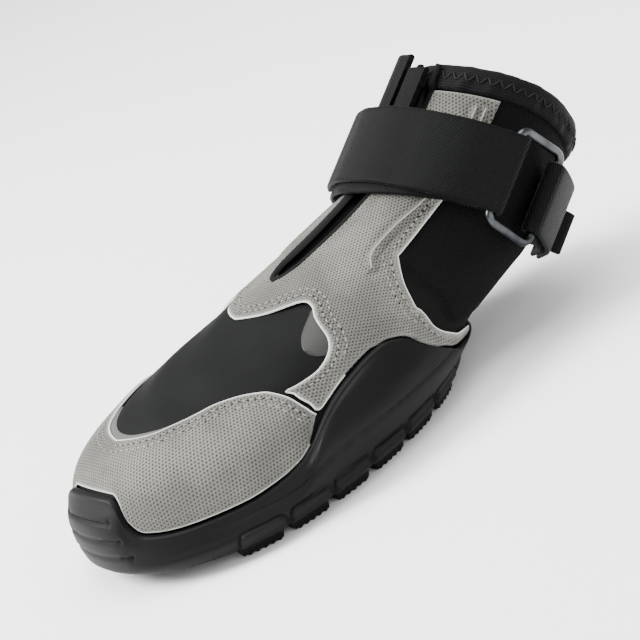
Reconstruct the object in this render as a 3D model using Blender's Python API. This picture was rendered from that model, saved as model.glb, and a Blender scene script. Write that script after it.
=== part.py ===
"""Soft dog boot with a cup sole, an ankle strap and a wire ring.

The toe points to -Y, the heel to +Y and the shaft leans back over the heel.
The ring is on the +X side and the tread stands on Z = 0.
"""

import math

import bpy
import bmesh
import numpy as np
from mathutils import Vector
from mathutils.geometry import delaunay_2d_cdt

# Driving sizes of the boot, in metres
LENGTH = 0.107
BALL_WIDTH = 0.069
INSTEP = 0.042
HEEL_HEIGHT = 0.016
UPPER_WALL = 0.0018
FIT_GAP = 0.00035
CUP_GAP = 0.0006

# Sole
SOLE_TOE_MARGIN = 0.005
SOLE_HEEL_MARGIN = 0.006
SOLE_SIDE_MARGIN = 0.00526
WIDEST_Y = -0.004
TREAD_DEPTH = 0.002
FLOOR_HEIGHT = 0.0052
PAD_HEIGHT = 0.0062
RIM_THICKNESS = 0.0021
TOE_SPRING = 0.0018
SPRING_START_Y = -0.015
SPRING_RUN = 0.035
LUG_LENGTH = 0.0104
LUG_PITCH = 0.0122
LUG_FIRST_Y = -0.0245
LUG_PAIRS = 6
LUG_SWEEP = 0.0040
LUG_TIP_X = 0.0085
LUG_NOTCH = 0.0030
LUG_POINT = 0.0035
LUG_ROOT_INSET = 0.0046
LUG_EDGE_INSET = 0.0036
PAD_FOOT_INSET = 0.0031
PAD_ROOT_INSET = 0.0020
TREAD_ROOT = 0.0012
PAD_STAND = 0.0004
DIAMOND_LENGTH = 0.0170
DIAMOND_WIDTH = 0.0096
FRONT_BLOCK_LENGTH = 0.0175
FRONT_BLOCK_SHOULDER = 0.0100
FRONT_BLOCK_WIDTH = 0.0116
FRONT_BLOCK_EDGE = 0.0100
FRONT_BLOCK_LEAD = 0.0075
TOE_GROOVE = 0.0012
GROOVE_DEPTH = 0.0010
GROOVE_REACH = 0.0040
GROOVE_FIRST_Z = 0.0080
GROOVE_RISE = 0.0043
GROOVE_CENTER_Y = -0.020

# Overlays
OVERLAY_THICKNESS = 0.0010
SLOT_HALF_WIDTH = 0.0036
SLOT_DEPTH = 0.0014
BINDING_HEIGHT = 0.0056
BINDING_THICKNESS = 0.0012
BINDING_SHOULDER = 0.0008
BINDING_CROWN = 0.0018
GUARD_GRID = 0.0042
SADDLE_GRID = 0.0052
LEAST_CLIMB = 0.0020

# Strap hardware
WEBBING_WIDTH = 0.020
WEBBING_THICKNESS = 0.0013
STRAP_HEIGHT = 0.0791
STRAP_LEAN = math.radians(35)
STRAP_SIDE_ROOM = 0.0006
STRAP_BULGE = 0.0012
UNDER_DROP = 0.0022
RING_WIRE = 0.0022
RING_SPAN = 0.0145
RING_SIDE_ROOM = 0.0007
RING_BEND = 0.0022
KEEPER_WIDTH = 0.0180
TAB_WIDTH = 0.0110
TAB_LENGTH = 0.0085
TAB_BOW = 0.0012

# Sections of the last from the feather line to the collar: front_y, front_z, back_y,
# back_z, half_width, widest, power, arch, drift.
# y values are shares of LENGTH, front_z of INSTEP, back_z of HEEL_HEIGHT,
# half_width, arch and drift of BALL_WIDTH, widest of the section's own length.
RING_UNITS = (LENGTH, INSTEP, LENGTH, HEEL_HEIGHT, BALL_WIDTH, 1, 1, BALL_WIDTH, BALL_WIDTH)
RINGS = (
    (-0.42, 0.160, 0.475, 0.36, 0.460, 0.50, 2.20, 0.000, 0.000),
    (-0.43, 0.345, 0.535, 0.60, 0.490, 0.50, 2.30, 0.000, 0.000),
    (-0.41, 0.515, 0.580, 0.72, 0.490, 0.50, 2.25, 0.000, 0.000),
    (-0.355, 0.630, 0.625, 0.78, 0.470, 0.50, 2.25, 0.000, 0.000),
    (-0.25, 0.725, 0.680, 0.82, 0.440, 0.50, 2.25, 0.000, 0.000),
    (-0.11, 0.810, 0.740, 0.88, 0.410, 0.50, 2.25, 0.000, 0.000),
    (0.055, 0.880, 0.790, 0.97, 0.385, 0.50, 2.25, 0.000, 0.010),
    (0.225, 0.965, 0.830, 1.13, 0.350, 0.50, 2.20, 0.000, 0.030),
    (0.385, 1.060, 0.870, 1.35, 0.315, 0.50, 2.15, 0.010, 0.060),
    (0.526, 1.185, 0.905, 1.57, 0.280, 0.50, 2.00, 0.020, 0.090),
    (0.645, 1.345, 0.945, 1.78, 0.262, 0.50, 1.90, 0.030, 0.108),
    (0.757, 1.535, 0.980, 1.94, 0.255, 0.48, 1.85, 0.040, 0.115),
)
TOP = len(RINGS) - 1

# Stations of a tread band from the side wall inwards: insets of its foot and its top
# from the sole's edge, share of the way to the tip, share of the sweep, on the wall or not
LUG_STATIONS = (
    (PAD_FOOT_INSET, -PAD_STAND, 0.0, 0.00, True),
    (LUG_EDGE_INSET, PAD_ROOT_INSET, 0.0, 0.00, True),
    (LUG_ROOT_INSET, LUG_ROOT_INSET, 0.0, 0.05, False),
    (LUG_ROOT_INSET, LUG_ROOT_INSET, 0.5, 0.45, False),
    (LUG_ROOT_INSET, LUG_ROOT_INSET, 1.0, 1.00, False),
)

# Side wall below the rim: inset from the outline, share of the height left
WALL_INSETS = ((0.0006, 0.5), (0.0018, 0.2), (LUG_EDGE_INSET, 0.0))

# Centres of the two diamonds in tread bands, half turns of the toe grooves
DIAMOND_BANDS = (1.9, 3.9)
GROOVE_HALF_TURNS = (0.100, 0.084, 0.066)

# Top edge of the sole on the last: turn (0 toe, 1 heel), ring number
WAVE = (
    (0.00, 2.12), (0.07, 2.04), (0.088, 1.80), (0.106, 1.18), (0.135, 0.82), (0.23, 0.67),
    (0.33, 0.66), (0.38, 0.78), (0.42, 1.08), (0.438, 1.50), (0.45, 2.30), (0.46, 3.40),
    (0.47, 4.10), (0.485, 4.38), (0.513, 4.22), (0.57, 3.45), (0.625, 2.62), (0.675, 1.80),
    (0.72, 1.20), (0.80, 0.95), (1.00, 0.95),
)

# Overlay outlines on the last: turn (0 front, 1 back), ring number
GUARD_TOP = ((0.00, 3.55), (0.09, 3.72), (0.13, 3.88), (0.17, 4.06), (0.20, 4.22), (0.24, 4.29),
             (0.28, 4.25), (0.315, 4.12), (0.365, 3.72), (0.41, 3.12), (0.44, 2.55), (0.446, 2.2))
SADDLE_FRONT = ((0.00, 6.08), (0.09, 6.20), (0.165, 6.39), (0.21, 6.28), (0.25, 6.00),
                (0.32, 5.50), (0.358, 5.12), (0.38, 4.72), (0.385, 4.33), (0.366, 4.10),
                (0.345, 4.02))
SADDLE_JOIN = ((0.369, 3.83), (0.415, 3.22), (0.438, 2.74), (0.445, 3.1), (0.452, 3.9),
               (0.465, 4.40))
SADDLE_REAR = ((0.775, 1.30), (0.78, 1.65), (0.765, 2.0), (0.735, 2.18), (0.70, 2.40),
               (0.66, 2.95), (0.615, 3.55), (0.57, 4.22), (0.52, 5.00), (0.46, 5.83),
               (0.39, 6.56), (0.325, 7.17), (0.325, 8.20), (0.34, 9.50))
RIM_CLEARANCE = 0.13
SLOT_TIP = 6.82
SLOT_SHARES = ((7.1, 0.70), (8.0, 1.00), (9.5, 0.92), (11.0, 0.72))

# Strap centre line round the shaft: angle from the front in degrees, rise above STRAP_HEIGHT
STRAP_RISE = ((-180, 0.0030), (-60, 0.0005), (0, 0.0), (45, 0.0012), (80, 0.0036), (180, 0.0040))

COLORS = {
    "rubber": (0.030, 0.031, 0.032, 1.0),
    "mesh": (0.46, 0.46, 0.45, 1.0),
    "neoprene": (0.022, 0.022, 0.024, 1.0),
    "elastic": (0.018, 0.018, 0.019, 1.0),
    "webbing": (0.026, 0.026, 0.028, 1.0),
    "steel": (0.33, 0.33, 0.34, 1.0),
}


def clear_scene():
    for old in list(bpy.data.objects):
        bpy.data.objects.remove(old, do_unlink=True)


def collection(name, hidden=False):
    group = bpy.data.collections.new(name)
    bpy.context.scene.collection.children.link(group)
    group.hide_render = hidden
    return group


def material(name, color, roughness, metallic=0.0):
    mat = bpy.data.materials.new(name)
    mat.use_nodes = True
    shader = mat.node_tree.nodes["Principled BSDF"]
    shader.inputs["Base Color"].default_value = color
    shader.inputs["Roughness"].default_value = roughness
    shader.inputs["Metallic"].default_value = metallic
    mat.diffuse_color = color
    return mat


def solid(name, verts, faces, mat, group, crease=50):
    mesh = bpy.data.meshes.new(name)
    mesh.from_pydata([tuple(v) for v in verts], [], [tuple(f) for f in faces])
    work = bmesh.new()
    work.from_mesh(mesh)
    bmesh.ops.recalc_face_normals(work, faces=work.faces)
    work.to_mesh(mesh)
    work.free()
    mesh.shade_smooth()
    mesh.set_sharp_from_angle(angle=math.radians(crease))
    if mat is not None:
        mesh.materials.append(mat)
    obj = bpy.data.objects.new(name, mesh)
    group.objects.link(obj)
    return obj


def loft(name, sections, mat, group, closed=False, crease=50, cap=None):
    """Joins equal closed sections into one solid, capped at both ends unless closed."""
    count, size = len(sections), len(sections[0])
    verts = [p for section in sections for p in section]
    faces = []
    for i in range(count if closed else count - 1):
        a, b = i * size, (i + 1) % count * size
        for j in range(size):
            k = (j + 1) % size
            faces.append((a + j, a + k, b + k, b + j))
    if not closed:
        for face in cap or (tuple(range(size)),):
            faces.append(face)
            faces.append(tuple(k + (count - 1) * size for k in face))
    return solid(name, verts, faces, mat, group, crease)


def columns(values, table, units=None):
    """Smooth curve through the rows of a table at fractional row numbers."""
    rows = np.array(table, float) * (1.0 if units is None else np.array(units))
    last_row = len(rows) - 1
    values = np.clip(np.asarray(values, float), 0, last_row)
    low = np.clip(np.floor(values).astype(int), 0, last_row - 1)
    t = (values - low)[..., None]
    p1, p2 = rows[low], rows[low + 1]
    p0 = np.where((low > 0)[..., None], rows[np.maximum(low - 1, 0)], 2 * p1 - p2)
    p3 = np.where((low < last_row - 1)[..., None], rows[np.minimum(low + 2, last_row)], 2 * p2 - p1)
    cubic = -p0 + 3 * p1 - 3 * p2 + p3
    square = 2 * p0 - 5 * p1 + 4 * p2 - p3
    return 0.5 * (2 * p1 + (p2 - p0) * t + square * t ** 2 + cubic * t ** 3)


def skin(v, u):
    """Point of the last: v is the ring number, u the turn from the front (+X side positive)."""
    front_y, front_z, back_y, back_z, half, widest, power, arch, drift = np.moveaxis(
        columns(v, RINGS, RING_UNITS), -1, 0)
    c, s = np.cos(u * np.pi), np.sin(u * np.pi)
    length = np.hypot(back_y - front_y, back_z - front_z)
    dy, dz = (back_y - front_y) / length, (back_z - front_z) / length
    c = np.sign(c) * np.abs(c) ** (2 / power)
    side = np.sign(s) * np.abs(s) ** (2 / power)
    along = np.where(c > 0, widest * length * (1 - c), widest * length - (1 - widest) * length * c)
    lift = arch * s * s
    return np.stack([half * side + drift, front_y + dy * along - dz * lift,
                     front_z + dz * along + dy * lift], -1)


def normal(v, u):
    step = 1e-3
    v = np.clip(v, step, TOP - step)
    across = skin(v, u + step) - skin(v, u - step)
    upward = skin(v + step, u) - skin(v - step, u)
    out = np.cross(across, upward)
    return out / np.linalg.norm(out, axis=-1, keepdims=True)


def last(v, u, out=0.0):
    v, u = np.broadcast_arrays(np.asarray(v, float), np.asarray(u, float))
    return skin(v, u) + normal(v, u) * np.asarray(out, float)[..., None]


def metres_per_ring(u):
    """Length of one ring step at the collar."""
    return np.linalg.norm(last(TOP, u) - last(TOP - 0.1, u), axis=-1) / 0.1


def metres_per_turn(v):
    return np.linalg.norm(last(v, 0.02) - last(v, -0.02), axis=-1) / 0.04


def below_collar(u, distance):
    return TOP - distance / metres_per_ring(u)


def slot_half_turn(v):
    """Half width of the throat slot as a turn."""
    shares = np.array(SLOT_SHARES)
    share = np.interp(v, np.r_[SLOT_TIP, shares[:, 0]], np.r_[0.0, shares[:, 1]])
    return share * SLOT_HALF_WIDTH / metres_per_turn(v)


def wave(u):
    """Ring number of the sole's top edge at a turn."""
    turns, rings = np.array(WAVE).T
    return np.interp(np.abs(u), turns, rings)


def above_rim(u):
    """Ring number at which an overlay's lower edge clears the sole's top edge."""
    v = float(wave(u)) + RIM_CLEARANCE
    climb = float((skin(v + 0.05, u) - skin(v - 0.05, u))[2]) / 0.1
    drop = max(0.0, -float(normal(v, u)[2])) * (FIT_GAP + OVERLAY_THICKNESS)
    return v + drop / max(climb, LEAST_CLIMB)


def build_upper(mat, group):
    turns = np.linspace(-1, 1, 41)[:-1]
    rings = np.linspace(0, TOP, 19)
    sections = []
    for u in turns:
        fade = np.clip((rings - SLOT_TIP) / 0.4, 0, 1) * np.clip((TOP - 0.7 - rings) / 0.5, 0, 1)
        dip = SLOT_DEPTH * fade * (abs(u) < 0.01)
        outer = last(rings, u, -dip)
        inner = last(rings, u, -dip - UPPER_WALL)[::-1]
        sections.append(np.concatenate([outer, inner]))
    return loft("upper", sections, mat, group, closed=True)


def sole_outline(u, inset=0.0):
    """Plan outline of the sole at a turn, drawn in by an inset."""
    toe = RINGS[0][0] * LENGTH - SOLE_TOE_MARGIN
    heel = RINGS[0][2] * LENGTH + SOLE_HEEL_MARGIN
    half_width = RINGS[0][4] * BALL_WIDTH + SOLE_SIDE_MARGIN
    c, s = math.cos(u * math.pi), math.sin(u * math.pi)
    power = 2.2 if c > 0 else 1.95
    reach = (WIDEST_Y - toe if c > 0 else heel - WIDEST_Y) - inset
    x = (half_width - inset) * math.copysign(abs(s) ** (2 / power), s)
    y = WIDEST_Y - reach * math.copysign(abs(c) ** (2 / power), c)
    return np.array([x, y])


def spring(y):
    return TOE_SPRING * np.clip((SPRING_START_Y - y) / SPRING_RUN, 0, 1.2) ** 2


def sole_column(u):
    """Inner wall upwards, rim, then outer wall down to the tread edge."""
    crown = wave(u)
    inner = [last(crown * share, u, CUP_GAP) for share in np.linspace(0, 1, 7)]
    foot = inner[0].copy()
    foot[2] = FLOOR_HEIGHT + 0.4 * float(spring(foot[1]))
    outline = sole_outline(u)
    spread = np.array([outline[0] - inner[0][0], outline[1] - inner[0][1], 0])
    flat = normal(crown, u) * np.array([1, 1, 0])
    edge = flat / np.linalg.norm(flat) * RIM_THICKNESS
    outer = []
    for share in (1.0, 0.66, 0.33, 0.0):
        outer.append(last(crown * share, u, CUP_GAP) + edge * share + spread * (1 - share))
    top = outer[-1][2]
    for inset, share in WALL_INSETS:
        x, y = sole_outline(u, inset)
        base = TREAD_DEPTH + float(spring(y))
        outer.append(np.array([x, y, base + share * (top - base)]))
    return [foot] + inner + outer


def wave_turns():
    knots = [row[0] for row in WAVE] + [0.05, 0.28, 0.595, 0.675, 0.76, 0.84, 0.88, 0.92, 0.96]
    half = sorted(knots)
    return [-t for t in half[:0:-1]] + half[:-1]


def sole_body(mat, group):
    turns = wave_turns()
    chains = [sole_column(u) for u in turns]
    size = len(chains[0])
    count = len(chains)
    verts = [p for chain in chains for p in chain]
    faces = []
    for i in range(count):
        a, b = i * size, (i + 1) % count * size
        for j in range(size - 1):
            faces.append((a + j, a + j + 1, b + j + 1, b + j))
    toe = count // 2
    for end in (0, size - 1):
        left = [(toe - k) % count * size + end for k in range(toe + 1)]
        right = [(toe + k) % count * size + end for k in range(toe + 1)]
        for k in range(len(left) - 1):
            loop = []
            for index in (left[k], left[k + 1], right[k + 1], right[k]):
                if index not in loop:
                    loop.append(index)
            if len(loop) > 2:
                faces.append(tuple(loop))
    return solid("outsole", verts, faces, mat, group, crease=40)


def lug(name, center_y, side, notched, group):
    """One tread band, from its tip near the middle to the pad on the side wall."""
    half = LUG_LENGTH / 2
    rows = []
    for low_inset, high_inset, inward, swept, wall in LUG_STATIONS:
        ring = []
        for inset, edge in ((low_inset, -1), (low_inset, 0), (low_inset, 1),
                            (high_inset, 1), (high_inset, 0), (high_inset, -1)):
            y = center_y + half * edge + LUG_SWEEP * swept
            x = edge_x(y) - inset
            x -= (x - LUG_TIP_X) * inward
            if inward == 1.0 and edge == 0:
                x += LUG_NOTCH if notched else -LUG_POINT
            z = float(spring(y))
            if len(ring) > 2:
                z = PAD_HEIGHT if wall else z + TREAD_DEPTH + TREAD_ROOT
            ring.append((side * x, y, z))
        rows.append(ring)
    return loft(name, rows, None, group, cap=((0, 1, 4, 5), (1, 2, 3, 4)))


def edge_x(y):
    """Half width of the sole's outline at a place along it."""
    turns = np.linspace(0.0, 1.0, 181)
    outline = np.array([sole_outline(t) for t in turns])
    return float(np.interp(y, outline[:, 1], outline[:, 0]))


def tread_block(name, corners, group):
    low = [(x, y, float(spring(y))) for x, y in corners]
    high = [(x, y, float(spring(y)) + TREAD_DEPTH + TREAD_ROOT) for x, y in corners]
    return loft(name, [low, high], None, group)


def toe_groove(name, height, half_turn, group):
    """Bar that follows the bumper and cuts one groove in it."""
    sections = []
    for u in np.linspace(-half_turn, half_turn, 7):
        ring = []
        for z, out in ((-1, -GROOVE_DEPTH), (-1, GROOVE_REACH), (1, GROOVE_REACH),
                       (1, -GROOVE_DEPTH)):
            level = height + z * TOE_GROOVE / 2
            x, y = bumper_point(u, level)
            direction = np.array([x, y - GROOVE_CENTER_Y])
            direction = direction / np.linalg.norm(direction)
            ring.append((x + direction[0] * out, y + direction[1] * out, level))
        sections.append(ring)
    return loft(name, sections, None, group)


def bumper_point(u, z):
    chain = np.array(sole_column(u))[8:]
    order = np.argsort(chain[:, 2])
    return [float(np.interp(z, chain[order, 2], chain[order, k])) for k in (0, 1)]


def boolean(obj, name, group, operation):
    cut = obj.modifiers.new(name, "BOOLEAN")
    cut.operation = operation
    cut.operand_type = "COLLECTION"
    cut.collection = group
    cut.solver = "EXACT"


def build_outsole(mat, group):
    obj = sole_body(mat, group)
    lugs = collection("outsole_lugs", hidden=True)
    for k in range(LUG_PAIRS):
        for side in (-1, 1):
            name = "lug_%d_%s" % (k, "left" if side > 0 else "right")
            lug(name, LUG_FIRST_Y + LUG_PITCH * k, side, k % 2 == 0, lugs)
    reach, half = DIAMOND_LENGTH / 2, DIAMOND_WIDTH / 2
    for k, band in enumerate(DIAMOND_BANDS):
        center = LUG_FIRST_Y + band * LUG_PITCH
        corners = [(0, center - reach), (half, center), (0, center + reach), (-half, center)]
        tread_block("diamond_%d" % k, corners, lugs)
    front = LUG_FIRST_Y - FRONT_BLOCK_LEAD
    shoulder, edge = FRONT_BLOCK_WIDTH / 2, FRONT_BLOCK_EDGE / 2
    front_block = [(0, front + FRONT_BLOCK_LENGTH), (shoulder, front + FRONT_BLOCK_SHOULDER),
                   (edge, front), (-edge, front), (-shoulder, front + FRONT_BLOCK_SHOULDER)]
    tread_block("front_block", front_block, lugs)
    grooves = collection("outsole_grooves", hidden=True)
    for k, half_turn in enumerate(GROOVE_HALF_TURNS):
        toe_groove("groove_%d" % k, GROOVE_FIRST_Z + GROOVE_RISE * k, half_turn, grooves)
    for cutters in (lugs, grooves):
        for cutter in cutters.objects:
            cutter.hide_render = True
            cutter.display_type = "WIRE"
    boolean(obj, "lugs", lugs, "UNION")
    boolean(obj, "grooves", grooves, "DIFFERENCE")
    return obj


def dense(outline, pitch):
    """Outline with its straight runs split to the pitch, in flattened metres."""
    points = []
    for (u0, v0), (u1, v1) in zip(outline, outline[1:] + outline[:1]):
        span = float(np.linalg.norm(last(v1, u1) - last(v0, u0)))
        steps = max(1, round(span / pitch))
        for k in range(steps):
            points.append((u0 + (u1 - u0) * k / steps, v0 + (v1 - v0) * k / steps))
    return points


def inside(point, outline):
    x, y = point
    odd = False
    for (x0, y0), (x1, y1) in zip(outline, outline[1:] + outline[:1]):
        if (y0 > y) != (y1 > y) and x < (x1 - x0) * (y - y0) / (y1 - y0) + x0:
            odd = not odd
    return odd


def clearance(point, outline):
    ends = np.array(outline)
    starts = np.roll(ends, 1, axis=0)
    run = ends - starts
    t = ((np.array(point) - starts) * run).sum(1) / np.maximum((run ** 2).sum(1), 1e-12)
    nearest = starts + run * np.clip(t, 0, 1)[:, None]
    return float(np.min(np.linalg.norm(np.array(point) - nearest, axis=1)))


def overlay(name, outline, pitch, mat, group):
    """Solid sheet over the last, cut to an outline of turns and ring numbers."""
    turn_scale, ring_scale = 1.45 * BALL_WIDTH, 0.2 * INSTEP
    rim = [(u * turn_scale, v * ring_scale) for u, v in dense(outline, pitch)]
    points = [Vector(p) for p in rim]
    low = np.min(rim, axis=0)
    high = np.max(rim, axis=0)
    rows = int((high[1] - low[1]) / (0.87 * pitch)) + 1
    across = int((high[0] - low[0]) / pitch / 2) + 1
    for r in range(rows + 1):
        for c in range(-across, across + 1):
            point = ((c + 0.5 * (r % 2)) * pitch, low[1] + r * 0.87 * pitch)
            if inside(point, rim) and clearance(point, rim) > 0.55 * pitch:
                points.append(Vector(point))
    edges = [(k, (k + 1) % len(rim)) for k in range(len(rim))]
    flat, rim_edges, tris = delaunay_2d_cdt(points, edges, [], 1, 1e-7)[:3]
    u = np.array([p.x for p in flat]) / turn_scale
    v = np.array([p.y for p in flat]) / ring_scale
    outer = last(v, u, FIT_GAP + OVERLAY_THICKNESS)
    inner = last(v, u, FIT_GAP)
    count = len(flat)
    faces = [tuple(t) for t in tris]
    uses = {}
    for tri in faces:
        for a, b in zip(tri, tri[1:] + tri[:1]):
            uses[(a, b)] = uses.get((a, b), 0) + 1
    walls = [(a, b, b + count, a + count) for a, b in uses if (b, a) not in uses]
    back = [tuple(k + count for k in reversed(t)) for t in faces]
    return solid(name, list(outer) + list(inner), faces + walls + back, mat, group)


def mirrored(half):
    """Full outline from its +X half, which starts and ends on the middle line or beside it."""
    other = [(-u, v) for u, v in reversed(half) if abs(u) > 1e-6]
    return half + other


def build_toe_guard(mat, group):
    half = list(GUARD_TOP)
    for u in (0.443, 0.434, 0.42, 0.40, 0.37, 0.33, 0.28, 0.23, 0.19, 0.16, 0.135, 0.12, 0.106,
              0.096, 0.086, 0.07, 0.035, 0.0):
        half.append((u, above_rim(u)))
    return overlay("toe_guard", mirrored(half), GUARD_GRID, mat, group)


def build_saddle(mat, group):
    half = list(SADDLE_FRONT) + list(SADDLE_JOIN)
    for u in (0.485, 0.513, 0.54, 0.57, 0.60, 0.625, 0.65, 0.675, 0.70, 0.72, 0.75):
        half.append((u, above_rim(u)))
    half += list(SADDLE_REAR)
    drop = BINDING_HEIGHT + FIT_GAP
    for u in (0.34, 0.25, 0.17, 0.11):
        half.append((u, float(below_collar(u, drop))))
    v = float(below_collar(0.05, drop))
    half.append((float(slot_half_turn(v)), v))
    for v in (9.5, 8.0, 7.1):
        half.append((float(slot_half_turn(v)), v))
    half.append((0.0, SLOT_TIP))
    return overlay("saddle", mirrored(half), SADDLE_GRID, mat, group)


def build_binding(mat, group):
    sections = []
    outside = FIT_GAP + BINDING_THICKNESS
    inside_face = -UPPER_WALL - FIT_GAP
    for u in np.linspace(-1, 1, 41)[:-1]:
        v = float(below_collar(u, BINDING_HEIGHT))
        up = last(TOP, u) - last(TOP - 0.05, u)
        up = up / np.linalg.norm(up)
        mid = (v + TOP) / 2
        section = [last(v, u, outside), last(mid, u, outside),
                   last(TOP, u, outside) + up * BINDING_SHOULDER,
                   last(TOP, u, -UPPER_WALL / 2) + up * BINDING_CROWN,
                   last(TOP, u, inside_face - BINDING_THICKNESS) + up * BINDING_SHOULDER,
                   last(mid, u, inside_face - BINDING_THICKNESS),
                   last(v, u, inside_face - BINDING_THICKNESS), last(v, u, inside_face),
                   last(mid, u, inside_face), last(TOP, u, inside_face) + up * FIT_GAP,
                   last(TOP, u, FIT_GAP) + up * FIT_GAP, last(mid, u, FIT_GAP), last(v, u, FIT_GAP)]
        sections.append(section)
    return loft("collar_binding", sections, mat, group, closed=True)


class Band:
    """Cross-section of the shaft that the strap lies on."""

    def __init__(self):
        self.up = np.array([0, math.cos(STRAP_LEAN), math.sin(STRAP_LEAN)])
        self.back = np.array([0, math.sin(STRAP_LEAN), -math.cos(STRAP_LEAN)])
        v, u = np.meshgrid(np.linspace(5.5, TOP, 56), np.linspace(-1, 1, 121))
        cloud = last(v, u, FIT_GAP + OVERLAY_THICKNESS + FIT_GAP).reshape(-1, 3)
        height = cloud @ self.up
        plan = np.stack([cloud[:, 0], cloud @ self.back], -1)
        turned = plan - (plan.min(0) + plan.max(0)) / 2
        degrees = np.degrees(np.arctan2(turned[:, 0], -turned[:, 1]))
        angles, rises = np.array(STRAP_RISE).T
        level = height - STRAP_HEIGHT - np.interp(degrees, angles, rises)
        reach = WEBBING_WIDTH / 2 + STRAP_SIDE_ROOM
        plan = plan[(level > -reach - UNDER_DROP) & (level < reach)]
        self.center = (plan.min(0) + plan.max(0)) / 2
        self.hull = convex(plan - self.center)

    def radius(self, degrees):
        direction = np.array([math.sin(math.radians(degrees)), -math.cos(math.radians(degrees))])
        best = 1.0
        for a, b in zip(self.hull, np.roll(self.hull, -1, axis=0)):
            side = np.array([b[1] - a[1], a[0] - b[0]])
            side = side / np.linalg.norm(side)
            facing = side @ direction
            if facing > 1e-6:
                best = min(best, (side @ a) / facing)
        return best

    def plan(self, degrees, out):
        angle = math.radians(degrees)
        reach = self.radius(degrees) + out
        return self.center + reach * np.array([math.sin(angle), -math.cos(angle)])

    def space(self, plan, rise):
        point = np.array([plan[0], 0, 0]) + self.back * plan[1]
        return point + self.up * (STRAP_HEIGHT + rise)


def convex(points):
    """Convex outline of plan points, anticlockwise."""
    order = sorted(map(tuple, points))

    def half(run):
        chain = []
        for p in run:
            while len(chain) > 1 and cross(chain[-2], chain[-1], p) <= 0:
                chain.pop()
            chain.append(p)
        return chain[:-1]
    return np.array(half(order) + half(order[::-1]))


def cross(o, a, b):
    return (a[0] - o[0]) * (b[1] - o[1]) - (a[1] - o[1]) * (b[0] - o[0])


def rise_at(degrees):
    angles, rises = np.array(STRAP_RISE).T
    return float(np.interp(degrees, angles, rises))


def ribbon(name, band, path, width, mat, group, thick=None):
    """Flat webbing through plan points, each with its rise along the shaft."""
    plans = np.array([p for p, rise in path])
    sections = []
    for k, (p, rise) in enumerate(path):
        before = plans[max(k - 1, 0)]
        after = plans[min(k + 1, len(path) - 1)]
        run = (after - before) / np.linalg.norm(after - before)
        side = np.array([run[1], -run[0]])
        half = (WEBBING_THICKNESS if thick is None else thick[k]) / 2
        sections.append([band.space(p + side * half, rise - width / 2),
                         band.space(p + side * half, rise + width / 2),
                         band.space(p - side * half, rise + width / 2),
                         band.space(p - side * half, rise - width / 2)])
    return loft(name, sections, mat, group)


def ring_bars(band):
    """Plan centres of the ring's two long bars."""
    clear = RING_WIRE / 2 + WEBBING_THICKNESS + 2 * FIT_GAP
    front_angle = 80.0
    front = band.plan(front_angle, clear)
    rear_angle = front_angle
    rear = front
    while np.linalg.norm(rear - front) < RING_SPAN:
        rear_angle += 0.5
        rear = band.plan(rear_angle, clear)
    return front_angle, front, rear_angle, rear


def fold(center, toward, outward, rise):
    """Stations of webbing that turns round a bar, from its inner to its outer side."""
    radius = RING_WIRE / 2 + FIT_GAP + WEBBING_THICKNESS / 2
    stations = []
    for degrees in (-90, -50, -15, 15, 50, 90):
        angle = math.radians(degrees)
        point = center + radius * (math.cos(angle) * toward + math.sin(angle) * outward)
        stations.append((point, rise))
    return stations


def build_strap(band, mat, group):
    front_angle, front, rear_angle, rear = ring_bars(band)
    toward = (rear - front) / np.linalg.norm(rear - front)
    outward = np.array([-toward[1], toward[0]])
    if outward @ (front - band.center) < 0:
        outward = -outward
    under = WEBBING_THICKNESS / 2 + FIT_GAP
    over = under + WEBBING_THICKNESS + FIT_GAP
    path = []
    for degrees in list(range(-168, 60, 8)) + [60, 67]:
        lower = UNDER_DROP * min(1.0, max(0.0, (60 - degrees) / 40))
        path.append((band.plan(degrees, under), rise_at(degrees) - lower))
    path += fold(front, toward, outward, rise_at(front_angle))
    for degrees in [62, 50, 40] + list(range(32, -41, -8)):
        extra = STRAP_BULGE * max(0.0, (degrees - 30) / 32)
        path.append((band.plan(degrees, over + extra), rise_at(degrees)))
    return ribbon("strap", band, path, WEBBING_WIDTH, mat, group)


def build_ring(band, mat, group):
    front_angle, front, rear_angle, rear = ring_bars(band)
    half = WEBBING_WIDTH / 2 + RING_WIRE / 2 + RING_SIDE_ROOM
    bend = RING_BEND
    rise = rise_at(front_angle)
    toward = (rear - front) / np.linalg.norm(rear - front)
    span = float(np.linalg.norm(rear - front))
    points = []
    for cx, cy, start in ((span - bend, half - bend, 0), (bend, half - bend, 90),
                          (bend, bend - half, 180), (span - bend, bend - half, 270)):
        for step in range(4):
            angle = math.radians(start + 30 * step)
            across = cx + bend * math.cos(angle)
            along = cy + bend * math.sin(angle)
            points.append(band.space(front + toward * across, rise + along))
    curve = bpy.data.curves.new("ring_path", "CURVE")
    curve.dimensions = "3D"
    spline = curve.splines.new("POLY")
    spline.points.add(len(points) - 1)
    for knot, p in zip(spline.points, points):
        knot.co = (*p, 1)
    spline.use_cyclic_u = True
    curve.bevel_depth = RING_WIRE / 2
    curve.bevel_resolution = 2
    path = bpy.data.objects.new("ring_path", curve)
    group.objects.link(path)
    mesh = bpy.data.meshes.new_from_object(path.evaluated_get(bpy.context.evaluated_depsgraph_get()))
    bpy.data.objects.remove(path, do_unlink=True)
    work = bmesh.new()
    work.from_mesh(mesh)
    bmesh.ops.remove_doubles(work, verts=work.verts, dist=1e-6)
    verts = [tuple(p.co) for p in work.verts]
    faces = [tuple(p.index for p in face.verts) for face in work.faces]
    work.free()
    return solid("strap_ring", verts, faces, mat, group)


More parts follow.
